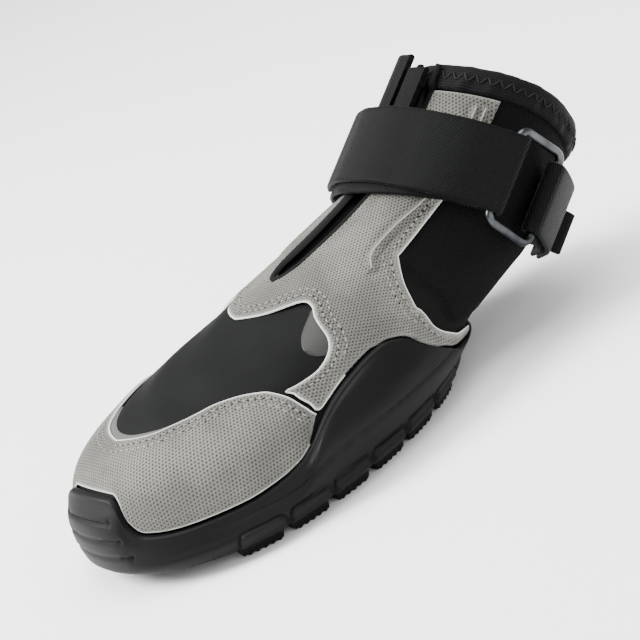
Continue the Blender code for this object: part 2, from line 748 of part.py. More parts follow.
def build_keeper(band, mat, group):
    front_angle, front, rear_angle, rear = ring_bars(band)
    toward = (front - rear) / np.linalg.norm(rear - front)
    outward = np.array([toward[1], -toward[0]])
    if outward @ (rear - band.center) < 0:
        outward = -outward
    under = WEBBING_THICKNESS / 2 + FIT_GAP
    over = under + WEBBING_THICKNESS + FIT_GAP
    path = []
    for degrees in (158, 148, 138, rear_angle + 9):
        path.append((band.plan(degrees, under), rise_at(degrees)))
    path += fold(rear, toward, outward, rise_at(rear_angle))
    for degrees, extra in ((rear_angle + 12, 0.0011), (138, 0.0006), (148, 0.0), (158, 0.0)):
        path.append((band.plan(degrees, over + extra), rise_at(degrees)))
    return ribbon("ring_keeper", band, path, KEEPER_WIDTH, mat, group)


def build_tab(band, mat, group):
    """Folded webbing tab that stands off the back of the shaft."""
    root = band.plan(168, 0.0)
    direction = np.array([math.sin(math.radians(140)), -math.cos(math.radians(140))])
    path = []
    for share in (0.0, 0.35, 0.7, 1.0):
        bow = np.array([direction[1], -direction[0]]) * TAB_BOW * math.sin(math.pi * share)
        path.append((root + direction * TAB_LENGTH * share + bow, rise_at(168)))
    thick = [2 * WEBBING_THICKNESS] * len(path)
    return ribbon("heel_tab", band, path, TAB_WIDTH, mat, group, thick)


def main():
    clear_scene()
    boot = collection("dog_boot")
    rubber = material("rubber_black", COLORS["rubber"], 0.62)
    guard_mesh = material("guard_mesh_grey", COLORS["mesh"], 0.85)
    saddle_mesh = material("saddle_mesh_grey", COLORS["mesh"], 0.85)
    neoprene = material("neoprene_black", COLORS["neoprene"], 0.8)
    elastic = material("elastic_black", COLORS["elastic"], 0.8)
    strap_web = material("strap_webbing_black", COLORS["webbing"], 0.7)
    keeper_web = material("keeper_webbing_black", COLORS["webbing"], 0.7)
    tab_web = material("tab_webbing_black", COLORS["webbing"], 0.7)
    steel = material("gunmetal_steel", COLORS["steel"], 0.28, metallic=1.0)
    build_outsole(rubber, boot)
    build_upper(neoprene, boot)
    build_toe_guard(guard_mesh, boot)
    build_saddle(saddle_mesh, boot)
    build_binding(elastic, boot)
    band = Band()
    build_strap(band, strap_web, boot)
    build_ring(band, steel, boot)
    build_keeper(band, keeper_web, boot)
    build_tab(band, tab_web, boot)


main()
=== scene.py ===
import math

import bpy
import numpy as np
from mathutils import Matrix, Vector
from mathutils.geometry import delaunay_2d_cdt
from mathutils.kdtree import KDTree


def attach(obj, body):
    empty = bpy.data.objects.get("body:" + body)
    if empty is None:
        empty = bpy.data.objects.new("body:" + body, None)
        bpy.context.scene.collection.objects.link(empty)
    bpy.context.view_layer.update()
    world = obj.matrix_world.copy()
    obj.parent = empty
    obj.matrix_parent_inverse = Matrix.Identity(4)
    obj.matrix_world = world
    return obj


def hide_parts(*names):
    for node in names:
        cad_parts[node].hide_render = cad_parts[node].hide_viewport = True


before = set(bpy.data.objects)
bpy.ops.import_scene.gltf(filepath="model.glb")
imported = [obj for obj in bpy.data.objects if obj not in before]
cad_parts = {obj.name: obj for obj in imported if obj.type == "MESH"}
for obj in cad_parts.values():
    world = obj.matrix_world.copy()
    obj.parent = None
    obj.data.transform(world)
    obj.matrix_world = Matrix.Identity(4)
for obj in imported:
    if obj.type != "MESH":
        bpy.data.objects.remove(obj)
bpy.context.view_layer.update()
print("frame loaded", sorted(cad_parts))

mm = 0.001
bothSides = ((1, "near"), (-1, "far"))

# The last that every soft piece lies on: its sizes, and its sections from the feather line
# to the collar (front y and z, back y and z, half width, widest, power, arch, drift) as
# shares of length, instep, length, heel and ball width.
boot = {
    "length": 107 * mm,
    "ball": 69 * mm,
    "instep": 42 * mm,
    "heel": 16 * mm,
    "wall": 1.8 * mm,
    "fit": 0.35 * mm,
    "cloth": 1.0 * mm,
    "rings": (
        (-0.42, 0.160, 0.475, 0.36, 0.460, 0.50, 2.20, 0.000, 0.000),
        (-0.43, 0.345, 0.535, 0.60, 0.490, 0.50, 2.30, 0.000, 0.000),
        (-0.41, 0.515, 0.580, 0.72, 0.490, 0.50, 2.25, 0.000, 0.000),
        (-0.355, 0.630, 0.625, 0.78, 0.470, 0.50, 2.25, 0.000, 0.000),
        (-0.25, 0.725, 0.680, 0.82, 0.440, 0.50, 2.25, 0.000, 0.000),
        (-0.11, 0.810, 0.740, 0.88, 0.410, 0.50, 2.25, 0.000, 0.000),
        (0.055, 0.880, 0.790, 0.97, 0.385, 0.50, 2.25, 0.000, 0.010),
        (0.225, 0.965, 0.830, 1.13, 0.350, 0.50, 2.20, 0.000, 0.030),
        (0.385, 1.060, 0.870, 1.35, 0.315, 0.50, 2.15, 0.010, 0.060),
        (0.526, 1.185, 0.905, 1.57, 0.280, 0.50, 2.00, 0.020, 0.090),
        (0.645, 1.345, 0.945, 1.78, 0.262, 0.50, 1.90, 0.030, 0.108),
        (0.757, 1.535, 0.980, 1.94, 0.255, 0.48, 1.85, 0.040, 0.115)),
}
ringTable = np.array(boot["rings"]) * [boot["length"], boot["instep"], boot["length"], boot["heel"],
                                       boot["ball"], 1, 1, boot["ball"], boot["ball"]]
topRing = len(ringTable) - 1


def curveThrough(places, table):
    # smooth curve through the rows of a table, at fractional row numbers
    rows = np.array(table, float)
    end = len(rows) - 1
    places = np.clip(np.asarray(places, float), 0, end)
    low = np.clip(np.floor(places).astype(int), 0, end - 1)
    t = (places - low)[..., None]
    b, c = rows[low], rows[low + 1]
    a = np.where((low > 0)[..., None], rows[np.maximum(low - 1, 0)], 2 * b - c)
    d = np.where((low < end - 1)[..., None], rows[np.minimum(low + 2, end)], 2 * c - b)
    square = 2 * a - 5 * b + 4 * c - d
    return 0.5 * (2 * b + (c - a) * t + square * t ** 2 + (3 * b - a - 3 * c + d) * t ** 3)


def rounded(angle, power):
    # cosine and sine of a superellipse
    c, s = np.cos(angle), np.sin(angle)
    return [np.sign(k) * np.abs(k) ** (2 / power) for k in (c, s)]


def skinAt(v, u):
    # v is the section's number, u the half turns from the front, positive on the wire ring's side
    frontY, frontZ, backY, backZ, half, widest, power, arch, drift = np.moveaxis(
        curveThrough(v, ringTable), -1, 0)
    length = np.hypot(backY - frontY, backZ - frontZ)
    dy, dz = (backY - frontY) / length, (backZ - frontZ) / length
    c, side = rounded(u * np.pi, power)
    along = np.where(c > 0, widest * length * (1 - c), widest * length - (1 - widest) * length * c)
    lift = arch * np.sin(u * np.pi) ** 2
    return cols(half * side + drift, frontY + dy * along - dz * lift, frontZ + dz * along + dy * lift)


def slopesAt(v, u):
    step = 1e-3
    v = np.clip(v, step, topRing - step)
    across = (skinAt(v, u + step) - skinAt(v, u - step)) / (2 * step)
    upward = (skinAt(v + step, u) - skinAt(v - step, u)) / (2 * step)
    return across, upward


def unit(vectors):
    return vectors / np.maximum(np.linalg.norm(vectors, axis=-1, keepdims=True), 1e-12)


def cols(*columns):
    # columns of numbers side by side
    return np.stack(np.broadcast_arrays(*columns), -1)


def outwardAt(v, u):
    return unit(np.cross(*slopesAt(v, u)))


def onLast(v, u, out=0.0):
    v, u = np.broadcast_arrays(np.asarray(v, float), np.asarray(u, float))
    return skinAt(v, u) + outwardAt(v, u) * np.asarray(out, float)[..., None]


def laid(run, out=0.0):
    # a run of (turn, ring) points on the last
    return onLast(run[:, 1], run[:, 0], out)


def onSide(run, side):
    return run * np.array([side, 1])


def easedLine(table):
    # monotone curve through (x, y) points, for the outlines that must not overshoot
    xs, ys = np.array(table, float).T
    gap = np.diff(xs)
    rise = np.diff(ys) / gap
    slope = np.zeros(len(xs))
    slope[-1] = rise[-1]
    for k in range(1, len(xs) - 1):
        if rise[k - 1] * rise[k] > 0:
            w1, w2 = 2 * gap[k] + gap[k - 1], gap[k] + 2 * gap[k - 1]
            slope[k] = (w1 + w2) / (w1 / rise[k - 1] + w2 / rise[k])

    def at(x):
        x = np.clip(x, xs[0], xs[-1])
        k = np.clip(np.searchsorted(xs, x) - 1, 0, len(xs) - 2)
        t = (x - xs[k]) / gap[k]
        return ((1 + 2 * t) * (1 - t) ** 2 * ys[k] + t * (1 - t) ** 2 * gap[k] * slope[k]
                + t * t * (3 - 2 * t) * ys[k + 1] - t * t * (1 - t) * gap[k] * slope[k + 1])
    return at


def ease(x, low, high):
    t = np.clip((x - low) / (high - low), 0, 1)
    return t * t * (3 - 2 * t)


def bump(x, width):
    return np.exp(-(x / width) ** 2)


def lengthAlong(points):
    return np.r_[0, np.cumsum(np.linalg.norm(np.diff(points, axis=0), axis=1))]


def sampled(want, run, points):
    # points read at the wanted lengths along their run
    return np.stack([np.interp(want, run, column) for column in points.T], -1)


def softRun(points, pitch=0.6 * mm):
    # smooth run of (turn, ring) points, spaced evenly on the last
    fine = curveThrough(np.linspace(0, len(points) - 1, 40 * (len(points) - 1) + 1), points)
    run = lengthAlong(laid(fine))
    return sampled(np.linspace(0, run[-1], max(3, int(round(run[-1] / pitch)) + 1)), run, fine)


# Modelling helpers

def only(obj):
    bpy.ops.object.select_all(action="DESELECT")
    obj.select_set(True)
    bpy.context.view_layer.objects.active = obj


def editAll(obj):
    only(obj)
    bpy.ops.object.mode_set(mode="EDIT")
    bpy.ops.mesh.select_all(action="SELECT")


def backToObject():
    bpy.ops.object.mode_set(mode="OBJECT")


def smooth(obj, angle=40):
    only(obj)
    bpy.ops.object.shade_smooth_by_angle(angle=math.radians(angle))


def readOut(items, key, width, kind=float):
    # one property of a mesh's items as a table
    flat = np.zeros(len(items) * width, kind)
    items.foreach_get(key, flat)
    return flat.reshape(-1, width)


def setValue(mesh, name, perVertex):
    attribute = mesh.attributes.new(name, "FLOAT", "POINT")
    attribute.data.foreach_set("value", np.asarray(perVertex, np.float32).ravel())


def linked(name, data, place=(0, 0, 0)):
    obj = bpy.data.objects.new(name, data)
    bpy.context.scene.collection.objects.link(obj)
    obj.location = place
    return obj


def linkedMesh(name, points, faces):
    mesh = bpy.data.meshes.new(name)
    mesh.from_pydata([tuple(p) for p in points], [], [tuple(f) for f in faces])
    return linked(name, mesh)


def laidGrid(name, points, uv=None, values=None, caps=False):
    # a grid primitive whose corners are laid on a table of points (rows, columns, 3)
    rows, cols = points.shape[:2]
    bpy.ops.object.select_all(action="DESELECT")
    bpy.ops.mesh.primitive_grid_add(x_subdivisions=cols - 1, y_subdivisions=rows - 1, size=2)
    obj = bpy.context.object
    obj.name = obj.data.name = name
    mesh = obj.data
    flat = readOut(mesh.vertices, "co", 3)
    i = np.rint((flat[:, 1] + 1) / 2 * (rows - 1)).astype(int)
    j = np.rint((flat[:, 0] + 1) / 2 * (cols - 1)).astype(int)
    mesh.vertices.foreach_set("co", points[i, j].ravel())
    while mesh.uv_layers:
        mesh.uv_layers.remove(mesh.uv_layers[0])
    if uv is not None:
        corner = readOut(mesh.loops, "vertex_index", 1, int)[:, 0]
        layer = mesh.uv_layers.new(name="cloth")
        layer.data.foreach_set("uv", uv[i, j].astype(np.float32)[corner].ravel())
    for key, table in (values or {}).items():
        setValue(mesh, key, table[i, j])
    mesh.update()
    editAll(obj)
    bpy.ops.mesh.remove_doubles(threshold=1e-6)
    if caps:
        bpy.ops.mesh.select_all(action="DESELECT")
        bpy.ops.mesh.select_non_manifold(extend=False)
        bpy.ops.mesh.fill_holes(sides=0)
        bpy.ops.mesh.select_all(action="SELECT")
    bpy.ops.mesh.normals_make_consistent(inside=False)
    backToObject()
    smooth(obj)
    return obj


def finishPiece(obj, material, replaced=None):
    obj.data.materials.clear()
    obj.data.materials.append(material)
    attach(obj, "root")
    if replaced:
        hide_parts(replaced)


def tube(name, path, sides, across, high, lifted, closed=False):
    # cord along a path, with its half width, and its half height towards the given direction
    if closed:
        ahead, behind = np.roll(path, -1, 0), np.roll(path, 1, 0)
    else:
        ahead, behind = np.vstack([path[1:], path[-1:]]), np.vstack([path[:1], path[:-1]])
    run = unit(ahead - behind)
    lift = unit(lifted - run * np.sum(lifted * run, -1, keepdims=True))
    side = np.cross(run, lift)
    turn = np.linspace(0, 2 * np.pi, sides + 1)
    wide = np.broadcast_to(across, len(path))[:, None]
    points = (path[:, None] + side[:, None] * (np.cos(turn) * wide)[:, :, None]
              + lift[:, None] * (np.sin(turn) * high)[None, :, None])
    if closed:
        points = np.concatenate([points, points[:1]])
    along = lengthAlong(points[:, 0])
    uv = cols(along[:, None], turn[None] * np.mean(across)) / mm
    return laidGrid(name, points, uv=uv, caps=not closed)


# Shading helpers

class Wire:
    # a node output that can be used in sums
    def __init__(self, paint, socket):
        self.paint = paint
        self.socket = socket

    def through(self, kind, *others):
        inputs = dict(enumerate((self,) + others))
        return self.paint.node("ShaderNodeMath", {"operation": kind}, inputs)

    def __add__(self, other):
        return self.through("ADD", other)

    def __mul__(self, other):
        return self.through("MULTIPLY", other)

    def __sub__(self, other):
        return self.through("SUBTRACT", other)

    def __rsub__(self, other):
        return self * -1.0 + other

    def __truediv__(self, other):
        return self.through("DIVIDE", other)

    def __pow__(self, other):
        return self.through("POWER", other)

    __radd__ = __add__
    __rmul__ = __mul__

    def sine(self):
        return self.through("SINE")

    def wave(self):
        return self.sine() * 0.5 + 0.5

    def between(self, low, high):
        settings = {"interpolation_type": "SMOOTHSTEP", "clamp": True}
        return self.paint.node("ShaderNodeMapRange", settings,
                               {0: self, 1: low, 2: high, 3: 0.0, 4: 1.0})


class Paint:
    # one material and the nodes that make it
    def __init__(self, name, color, roughness, metallic=0.0, **constants):
        self.material = bpy.data.materials.new(name)
        self.material.use_nodes = True
        self.material.diffuse_color = (*color, 1)
        self.tree = self.material.node_tree
        self.slots = self.tree.nodes["Principled BSDF"].inputs
        constants.update(Base_Color=(*color, 1), Roughness=roughness, Metallic=metallic)
        for key, value in constants.items():
            self.slots[key.replace("_", " ")].default_value = value

    def feed(self, slot, value):
        if isinstance(value, Wire):
            self.tree.links.new(value.socket, slot)
        elif slot.type == "RGBA":
            slot.default_value = (*value, 1)
        else:
            slot.default_value = value

    def node(self, kind, settings, inputs, out=0):
        node = self.tree.nodes.new(kind)
        for key, value in settings.items():
            setattr(node, key, value)
        for key, value in inputs.items():
            self.feed(node.inputs[key], value)
        return Wire(self, node.outputs[out])

    def cloth(self):
        # millimetres along and across the piece's own cloth
        at = self.node("ShaderNodeUVMap", {"uv_map": "cloth"}, {})
        return [self.node("ShaderNodeSeparateXYZ", {}, {0: at}, out) for out in (0, 1)]

    def value(self, name):
        return self.node("ShaderNodeAttribute", {"attribute_name": name}, {}, "Fac")

    def noise(self, scale, detail=2.0, rough=0.5):
        at = self.node("ShaderNodeTexCoord", {}, {}, "Object")
        return self.node("ShaderNodeTexNoise", {}, {"Vector": at, "Scale": scale, "Detail": detail,
                                                    "Roughness": rough})

    def blend(self, share, a, b):
        return self.node("ShaderNodeMix", {"data_type": "RGBA"}, {0: share, 6: a, 7: b}, 2)

    def finish(self, color, height, depth, strength, rough=None):
        normal = self.node("ShaderNodeBump", {}, {"Strength": strength, "Distance": depth,
                                                  "Height": height})
        self.feed(self.slots["Base Color"], color)
        self.feed(self.slots["Normal"], normal)
        if rough:
            self.feed(self.slots["Roughness"], rough)
        return self.material


def knitMesh(name):
    # lengths are millimetres of cloth
    look = {"light": (0.158, 0.155, 0.139), "shade": (0.100, 0.098, 0.088),
            "hole": (0.018, 0.0175, 0.0155), "rim": (0.34, 0.34, 0.32), "pitch": 0.95, "row": 0.75,
            "hole radius": 0.20}
    paint = Paint(name, look["light"], 0.86, Specular_IOR_Level=0.2)
    x, y = paint.cloth()

    def lattice(shift):
        dx = ((x / look["pitch"] + shift).through("FRACT") - 0.5) * look["pitch"]
        dy = ((y / (2 * look["row"]) + shift).through("FRACT") - 0.5) * (2 * look["row"])
        return ((dx * 1.15) ** 2.0 + dy ** 2.0) ** 0.5
    far = lattice(0.0).through("MINIMUM", lattice(0.5))
    hole = 1.0 - far.between(look["hole radius"] - 0.08, look["hole radius"] + 0.16)
    yarn = (x * 9.0 + (y * 4.4).sine() * 0.8).wave()
    cross = (y * 10.8).wave()
    fine = paint.noise(2600.0)
    edge = paint.value("edge")
    base = paint.blend(paint.noise(70.0, 3.0).between(0.36, 0.66), look["shade"], look["light"])
    base = paint.blend(fine.between(0.35, 0.7) * 0.35, base, look["shade"])
    # darker along the stitch rows; on the saddle this also paints shade in the troughs beside the ridges
    base = paint.blend(paint.value("seam") * 0.30, base, look["shade"])
    depth = hole * (1.0 - edge * 0.9) * (paint.noise(900.0, 1.0) * 0.6 + 0.50)
    base = paint.blend(depth, base, look["hole"])
    lumps = (1.0 - hole) * 0.75 + yarn * 0.10 + cross * 0.10 + fine * 0.10
    return paint.finish(paint.blend(edge * 0.5, base, look["rim"]), lumps, 0.30 * mm, 0.8,
                        0.80 + hole * 0.15)


def stretchFabric():
    look = {"window": (0.0020, 0.0022, 0.0022), "window light": (0.0032, 0.0034, 0.0034),
            "rear": (0.0020, 0.0020, 0.0021), "rib gap": (0.0010, 0.0010, 0.0011),
            "panel": (0.0026, 0.0025, 0.0023), "fluff": (0.0050, 0.0052, 0.0052)}
    paint = Paint("stretchFabric", look["window"], 0.66, Specular_IOR_Level=0.09)
    x, y = paint.cloth()
    rear, heel = paint.value("rear"), paint.value("heel")
    fine = paint.noise(1900.0)
    broad = paint.noise(55.0, 3.0)
    ribs = (y * 5.2).wave() * ((x * 6.0 + (y * 2.6).sine()).sine() * 0.35 + 0.65)
    color = paint.blend(broad.between(0.3, 0.7), look["window"], look["window light"])
    color = paint.blend(rear, color, paint.blend(ribs, look["rib gap"], look["rear"]))
    color = paint.blend(heel * rear, color, look["panel"])
    color = paint.blend(fine.between(0.5, 0.8) * 0.3, color, look["fluff"])
    ribbing = ribs * rear * (1.0 - heel * 0.8)
    return paint.finish(color, fine * 0.35 + ribbing, 0.16 * mm, 0.8, 0.62 + rear * 0.18 + fine * 0.08)


def moldedRubber():
    look = {"deep": (0.0011, 0.0013, 0.0012), "worn": (0.0022, 0.0024, 0.0023),
            "groove": (0.0010, 0.0010, 0.0010)}
    paint = Paint("moldedRubber", look["deep"], 0.5, Specular_IOR_Level=0.12)
    broad = paint.noise(60.0, 4.0)
    low = paint.value("low")
    color = paint.blend(broad.between(0.35, 0.75) * 0.5, look["deep"], look["worn"])
    # painted shade: darker in the grooves that the low value marks
    color = paint.blend(low * 0.6, color, look["groove"])
    return paint.finish(color, paint.noise(1500.0, 3.0, 0.6), 0.05 * mm, 0.7,
                        0.46 + broad * 0.14 + low * 0.2)


def twillWebbing():
    look = {"yarn": (0.0012, 0.0014, 0.0016), "gap": (0.0004, 0.0004, 0.0005),
            "sheen": (0.0042, 0.0045, 0.0049), "pitch": 0.56, "selvedge": 8.9}
    paint = Paint("twillWebbing", look["yarn"], 0.5, Sheen_Weight=0.06, Sheen_Roughness=0.22,
                  Specular_IOR_Level=0.08)
    x, y = paint.cloth()
    turn = 2 * math.pi / look["pitch"]
    ribs = ((x + y * 0.22) * turn).wave()
    picks = ((y * 1.55 - x * 0.9) * turn).wave()
    edge = (y.through("ABSOLUTE") - look["selvedge"]).between(0.0, 0.5)
    fine = paint.noise(2400.0)
    weave = (ribs * 0.72 + picks * 0.28) * (1.0 - edge * 0.4)
    yarn = paint.blend(fine.between(0.35, 0.75), look["yarn"], look["sheen"])
    return paint.finish(paint.blend(weave.between(0.15, 0.85), look["gap"], yarn),
                        weave + fine * 0.25, 0.14 * mm, 0.8, 0.66 - weave * 0.14)


def elasticTape(name):
    look = {"rib": (0.0038, 0.0043, 0.0048), "rib light": (0.0038, 0.0040, 0.0043),
            "groove": (0.0008, 0.0008, 0.0009), "rib pitch": 0.75, "pick pitch": 0.55}
    paint = Paint(name, look["rib"], 0.7, Sheen_Weight=0.015, Sheen_Roughness=0.35,
                  Specular_IOR_Level=0.09)
    x, y = paint.cloth()
    ribs = (y * (2 * math.pi / look["rib pitch"])).wave()
    cross = (x * (2 * math.pi / look["pick pitch"]) + ribs * 2.0).wave()
    fine = paint.noise(2200.0)
    weave = ribs * 0.6 + cross * 0.4
    yarn = paint.blend(fine.between(0.3, 0.7), look["rib"], look["rib light"])
    return paint.finish(paint.blend(weave.between(0.2, 0.8), look["groove"], yarn),
                        weave + fine * 0.2, 0.16 * mm, 0.8)


def plainCloth(name, color, roughness, grain=0.06, speck=0.3):
    paint = Paint(name, color, roughness, Specular_IOR_Level=0.25)
    fine = paint.noise(2200.0)
    darker = tuple(0.6 * c for c in color)
    return paint.finish(paint.blend(fine.between(0.3, 0.75) * speck, color, darker), fine,
                        grain * mm, 0.6)


def gunmetal():
    look = {"plain": (0.055, 0.057, 0.060), "dark": (0.028, 0.030, 0.033), "light": (0.078, 0.081, 0.086)}
    paint = Paint("gunmetal", look["plain"], 0.3, 1.0)
    broad = paint.noise(160.0, 3.0)
    fine = paint.noise(1800.0, 3.0)
    return paint.finish(paint.blend(broad.between(0.35, 0.7), look["dark"], look["light"]), fine,
                        0.02 * mm, 0.4, 0.20 + fine * 0.16 + broad * 0.06)


print("materials")
meshGuard = knitMesh("knitMeshGuard")
meshSaddle = knitMesh("knitMeshSaddle")
fabric = stretchFabric()
rubber = moldedRubber()
webbing = twillWebbing()
tape = elasticTape("elasticTape")
throatTape = elasticTape("throatTape")
film = plainCloth("filmTrim", (0.021, 0.021, 0.020), 0.45, 0.02, 0.15)
filmToe = plainCloth("filmToe", (0.085, 0.085, 0.082), 0.45, 0.02, 0.15)
piping = plainCloth("pipingLight", (0.52, 0.52, 0.49), 0.55, 0.03, 0.12)
# light thread, also used for the painted highlight cords on the saddle's ridges
threadLight = plainCloth("threadLight", (0.235, 0.231, 0.212), 0.7)
threadDark = plainCloth("threadDark", (0.0012, 0.0012, 0.0012), 0.6)
needleHole = plainCloth("needleHole", (0.007, 0.0067, 0.0060), 0.9)
steel = gunmetal()

# Sole

sole = {
    "width": 74 * mm,
    "toe margin": 5 * mm,
    "heel margin": 6 * mm,
    "widest": -4 * mm,
    "powers": (2.2, 1.95),  # of the outline's toe and heel
    "cup gap": 0.6 * mm,
    "floor": 5.2 * mm,
    "spine": (-26 * mm, 30 * mm),
    "rim": 2.1 * mm,
    "lip": 0.55 * mm,
    "tread": 2.0 * mm,
    "spring": 1.8 * mm,
    "spring start": -15 * mm,
    "spring run": 35 * mm,
    "rim points": ((0.00, 2.12), (0.07, 2.04), (0.088, 1.80), (0.106, 1.18), (0.135, 0.82),
                   (0.23, 0.67), (0.33, 0.66), (0.38, 0.78), (0.42, 1.08), (0.438, 1.50),
                   (0.45, 2.30), (0.46, 3.40), (0.47, 4.10), (0.485, 4.38), (0.513, 4.22),
                   (0.57, 3.45), (0.625, 2.62), (0.675, 1.80), (0.72, 1.20), (0.80, 0.95),
                   (1.00, 0.95)),
    "foot rows": ((0.6 * mm, 0.5), (1.8 * mm, 0.2), (3.6 * mm, 0.0)),  # inset, share of height
    "toe grooves": ((8.0 * mm, 0.100), (12.3 * mm, 0.084), (16.6 * mm, 0.066)),  # height, half turn
    "toe groove": (0.62 * mm, 0.32 * mm),  # depth, half width
    "groove end": (0.70 * mm, 0.62 * mm, 0.0045),  # depth, half height, half turn
    "crease": 9.4 * mm,
    "crease rise": 3.2 * mm,
    "crease fall": 2.0 * mm,
    "columns": 660,
}
tread = {
    "first band": -24.5 * mm,
    "pitch": 12.2 * mm,
    "half band": 5.2 * mm,
    "bands": 6,
    "sweep": 4.0 * mm,
    "tip": 8.5 * mm,
    "tip points": (3.0 * mm, -3.5 * mm),
    "edge inset": 4.6 * mm,
    "soft edge": 0.45 * mm,
    "rib": 0.45 * mm,
    "rib pitch": 1.73 * mm,
    "diamonds": (1.9, 3.9),
    "diamond": (4.8 * mm, 8.5 * mm),
    "front block": (5.6 * mm, 11.5 * mm, 6 * mm),
    "front lead": 1.5 * mm,
    "pad height": 6.2 * mm,
    "pad round": 1.3 * mm,
    "pad push": 0.40 * mm,
    "pad groove": 0.45 * mm,
}
rimLine = easedLine(sole["rim points"])


def rimAt(u):
    return rimLine(np.abs(u))


def soleOutline(u, inset=0.0):
    toe = boot["rings"][0][0] * boot["length"] - sole["toe margin"]
    heel = boot["rings"][0][2] * boot["length"] + sole["heel margin"]
    ahead = np.cos(u * np.pi) > 0
    c, s = rounded(u * np.pi, np.where(ahead, *sole["powers"]))
    reach = np.where(ahead, sole["widest"] - toe, heel - sole["widest"]) - inset
    return cols((sole["width"] / 2 - inset) * s, sole["widest"] - reach * c)


def springAt(y):
    return sole["spring"] * np.clip((sole["spring start"] - y) / sole["spring run"], 0, 1.2) ** 2


def halfWidthAt(y):
    edge = soleOutline(np.linspace(0, 1, 361))
    return np.interp(y, edge[:, 1], edge[:, 0])


def bandAt(k):
    return tread["first band"] + k * tread["pitch"]


def treadAt(x, y):
    # 1 on the face of a tread block, 0 in the grooves, and the depth of the fine ribs
    wide = np.abs(x)
    inner = halfWidthAt(y) - tread["edge inset"]
    swept = np.clip((inner - wide) / np.maximum(inner - tread["tip"], 1 * mm), 0, 1)
    face, ribs = np.zeros_like(x), np.zeros_like(x)
    for k in range(tread["bands"]):
        off = y - bandAt(k) - tread["sweep"] * swept
        tip = tread["tip"] + tread["tip points"][k % 2] * (1 - np.abs(off) / tread["half band"])
        block = (ease(tread["half band"] - np.abs(off), 0, tread["soft edge"])
                 * ease(wide - tip, 0, tread["soft edge"]))
        ribs = np.where(block > 0.5, 0.5 - 0.5 * np.cos(off / tread["rib pitch"] * 2 * np.pi), ribs)
        face = np.maximum(face, block)
    for k in tread["diamonds"]:
        near = 1 - wide / tread["diamond"][0] - np.abs(y - bandAt(k)) / tread["diamond"][1]
        face = np.maximum(face, ease(near, 0, 0.10))
        ribs = np.where(near > 0, 0.5 - 0.5 * np.cos(near * 16), ribs)
    half, length, back = tread["front block"]
    off = y - (tread["first band"] - tread["front lead"])
    near = np.minimum(1 - wide / half - np.clip(off / length, 0, 1) ** 2, (off + back) / back)
    face = np.maximum(face, ease(near, 0, 0.10))
    return face, ribs * face


def wallReliefAndShade(wall, turns):
    # how far the side wall stands out, and the painted shade in its grooves
    y = wall[..., 1]
    z = wall[..., 2] - springAt(y)
    u = np.abs(np.broadcast_to(turns, z.shape))
    # low is painted shade: darker in the grooves round the pads, along the crease and in the toe grooves
    push, low = np.zeros_like(z), np.zeros_like(z)
    sideOn = ease(u, 0.17, 0.22) * (1 - ease(u, 0.86, 0.90))
    corner = tread["pad round"]
    for k in range(tread["bands"]):
        off = np.abs(y - bandAt(k)) - (tread["half band"] - corner)
        rise = z - (tread["pad height"] - corner)
        away = np.hypot(np.maximum(off, 0), np.maximum(rise, 0)) - corner
        away = np.where((off < 0) & (rise < 0), -2 * mm, away)
        push += sideOn * (tread["pad push"] * (1 - ease(away, -0.35 * mm, 0.10 * mm))
                          - tread["pad groove"] * bump(away - tread["pad groove"], 0.30 * mm))
        low += sideOn * bump(away - tread["pad groove"], 0.35 * mm)
    crest = z - (sole["crease"] + sole["crease rise"] * ease(u, 0.40, 0.52)
                 - sole["crease fall"] * ease(u, 0.66, 0.8))
    line = sideOn * ease(u, 0.24, 0.34)
    push += line * (-0.28 * mm * bump(crest, 0.30 * mm) + 0.22 * mm * ease(-crest, 0, 1.6 * mm))
    low += 0.5 * line * bump(crest, 0.30 * mm)
    deep, wide = sole["toe groove"]
    endDeep, endHigh, endWide = sole["groove end"]
    for height, half in sole["toe grooves"]:
        channel = bump(z - height, wide) * (1 - ease(u - half, -0.006, 0.002))
        dot = bump(z - height, endHigh) * bump(u - half - 0.004, endWide)
        push -= deep * channel + endDeep * dot
        low += channel + dot
    return push, np.clip(low, 0, 1)


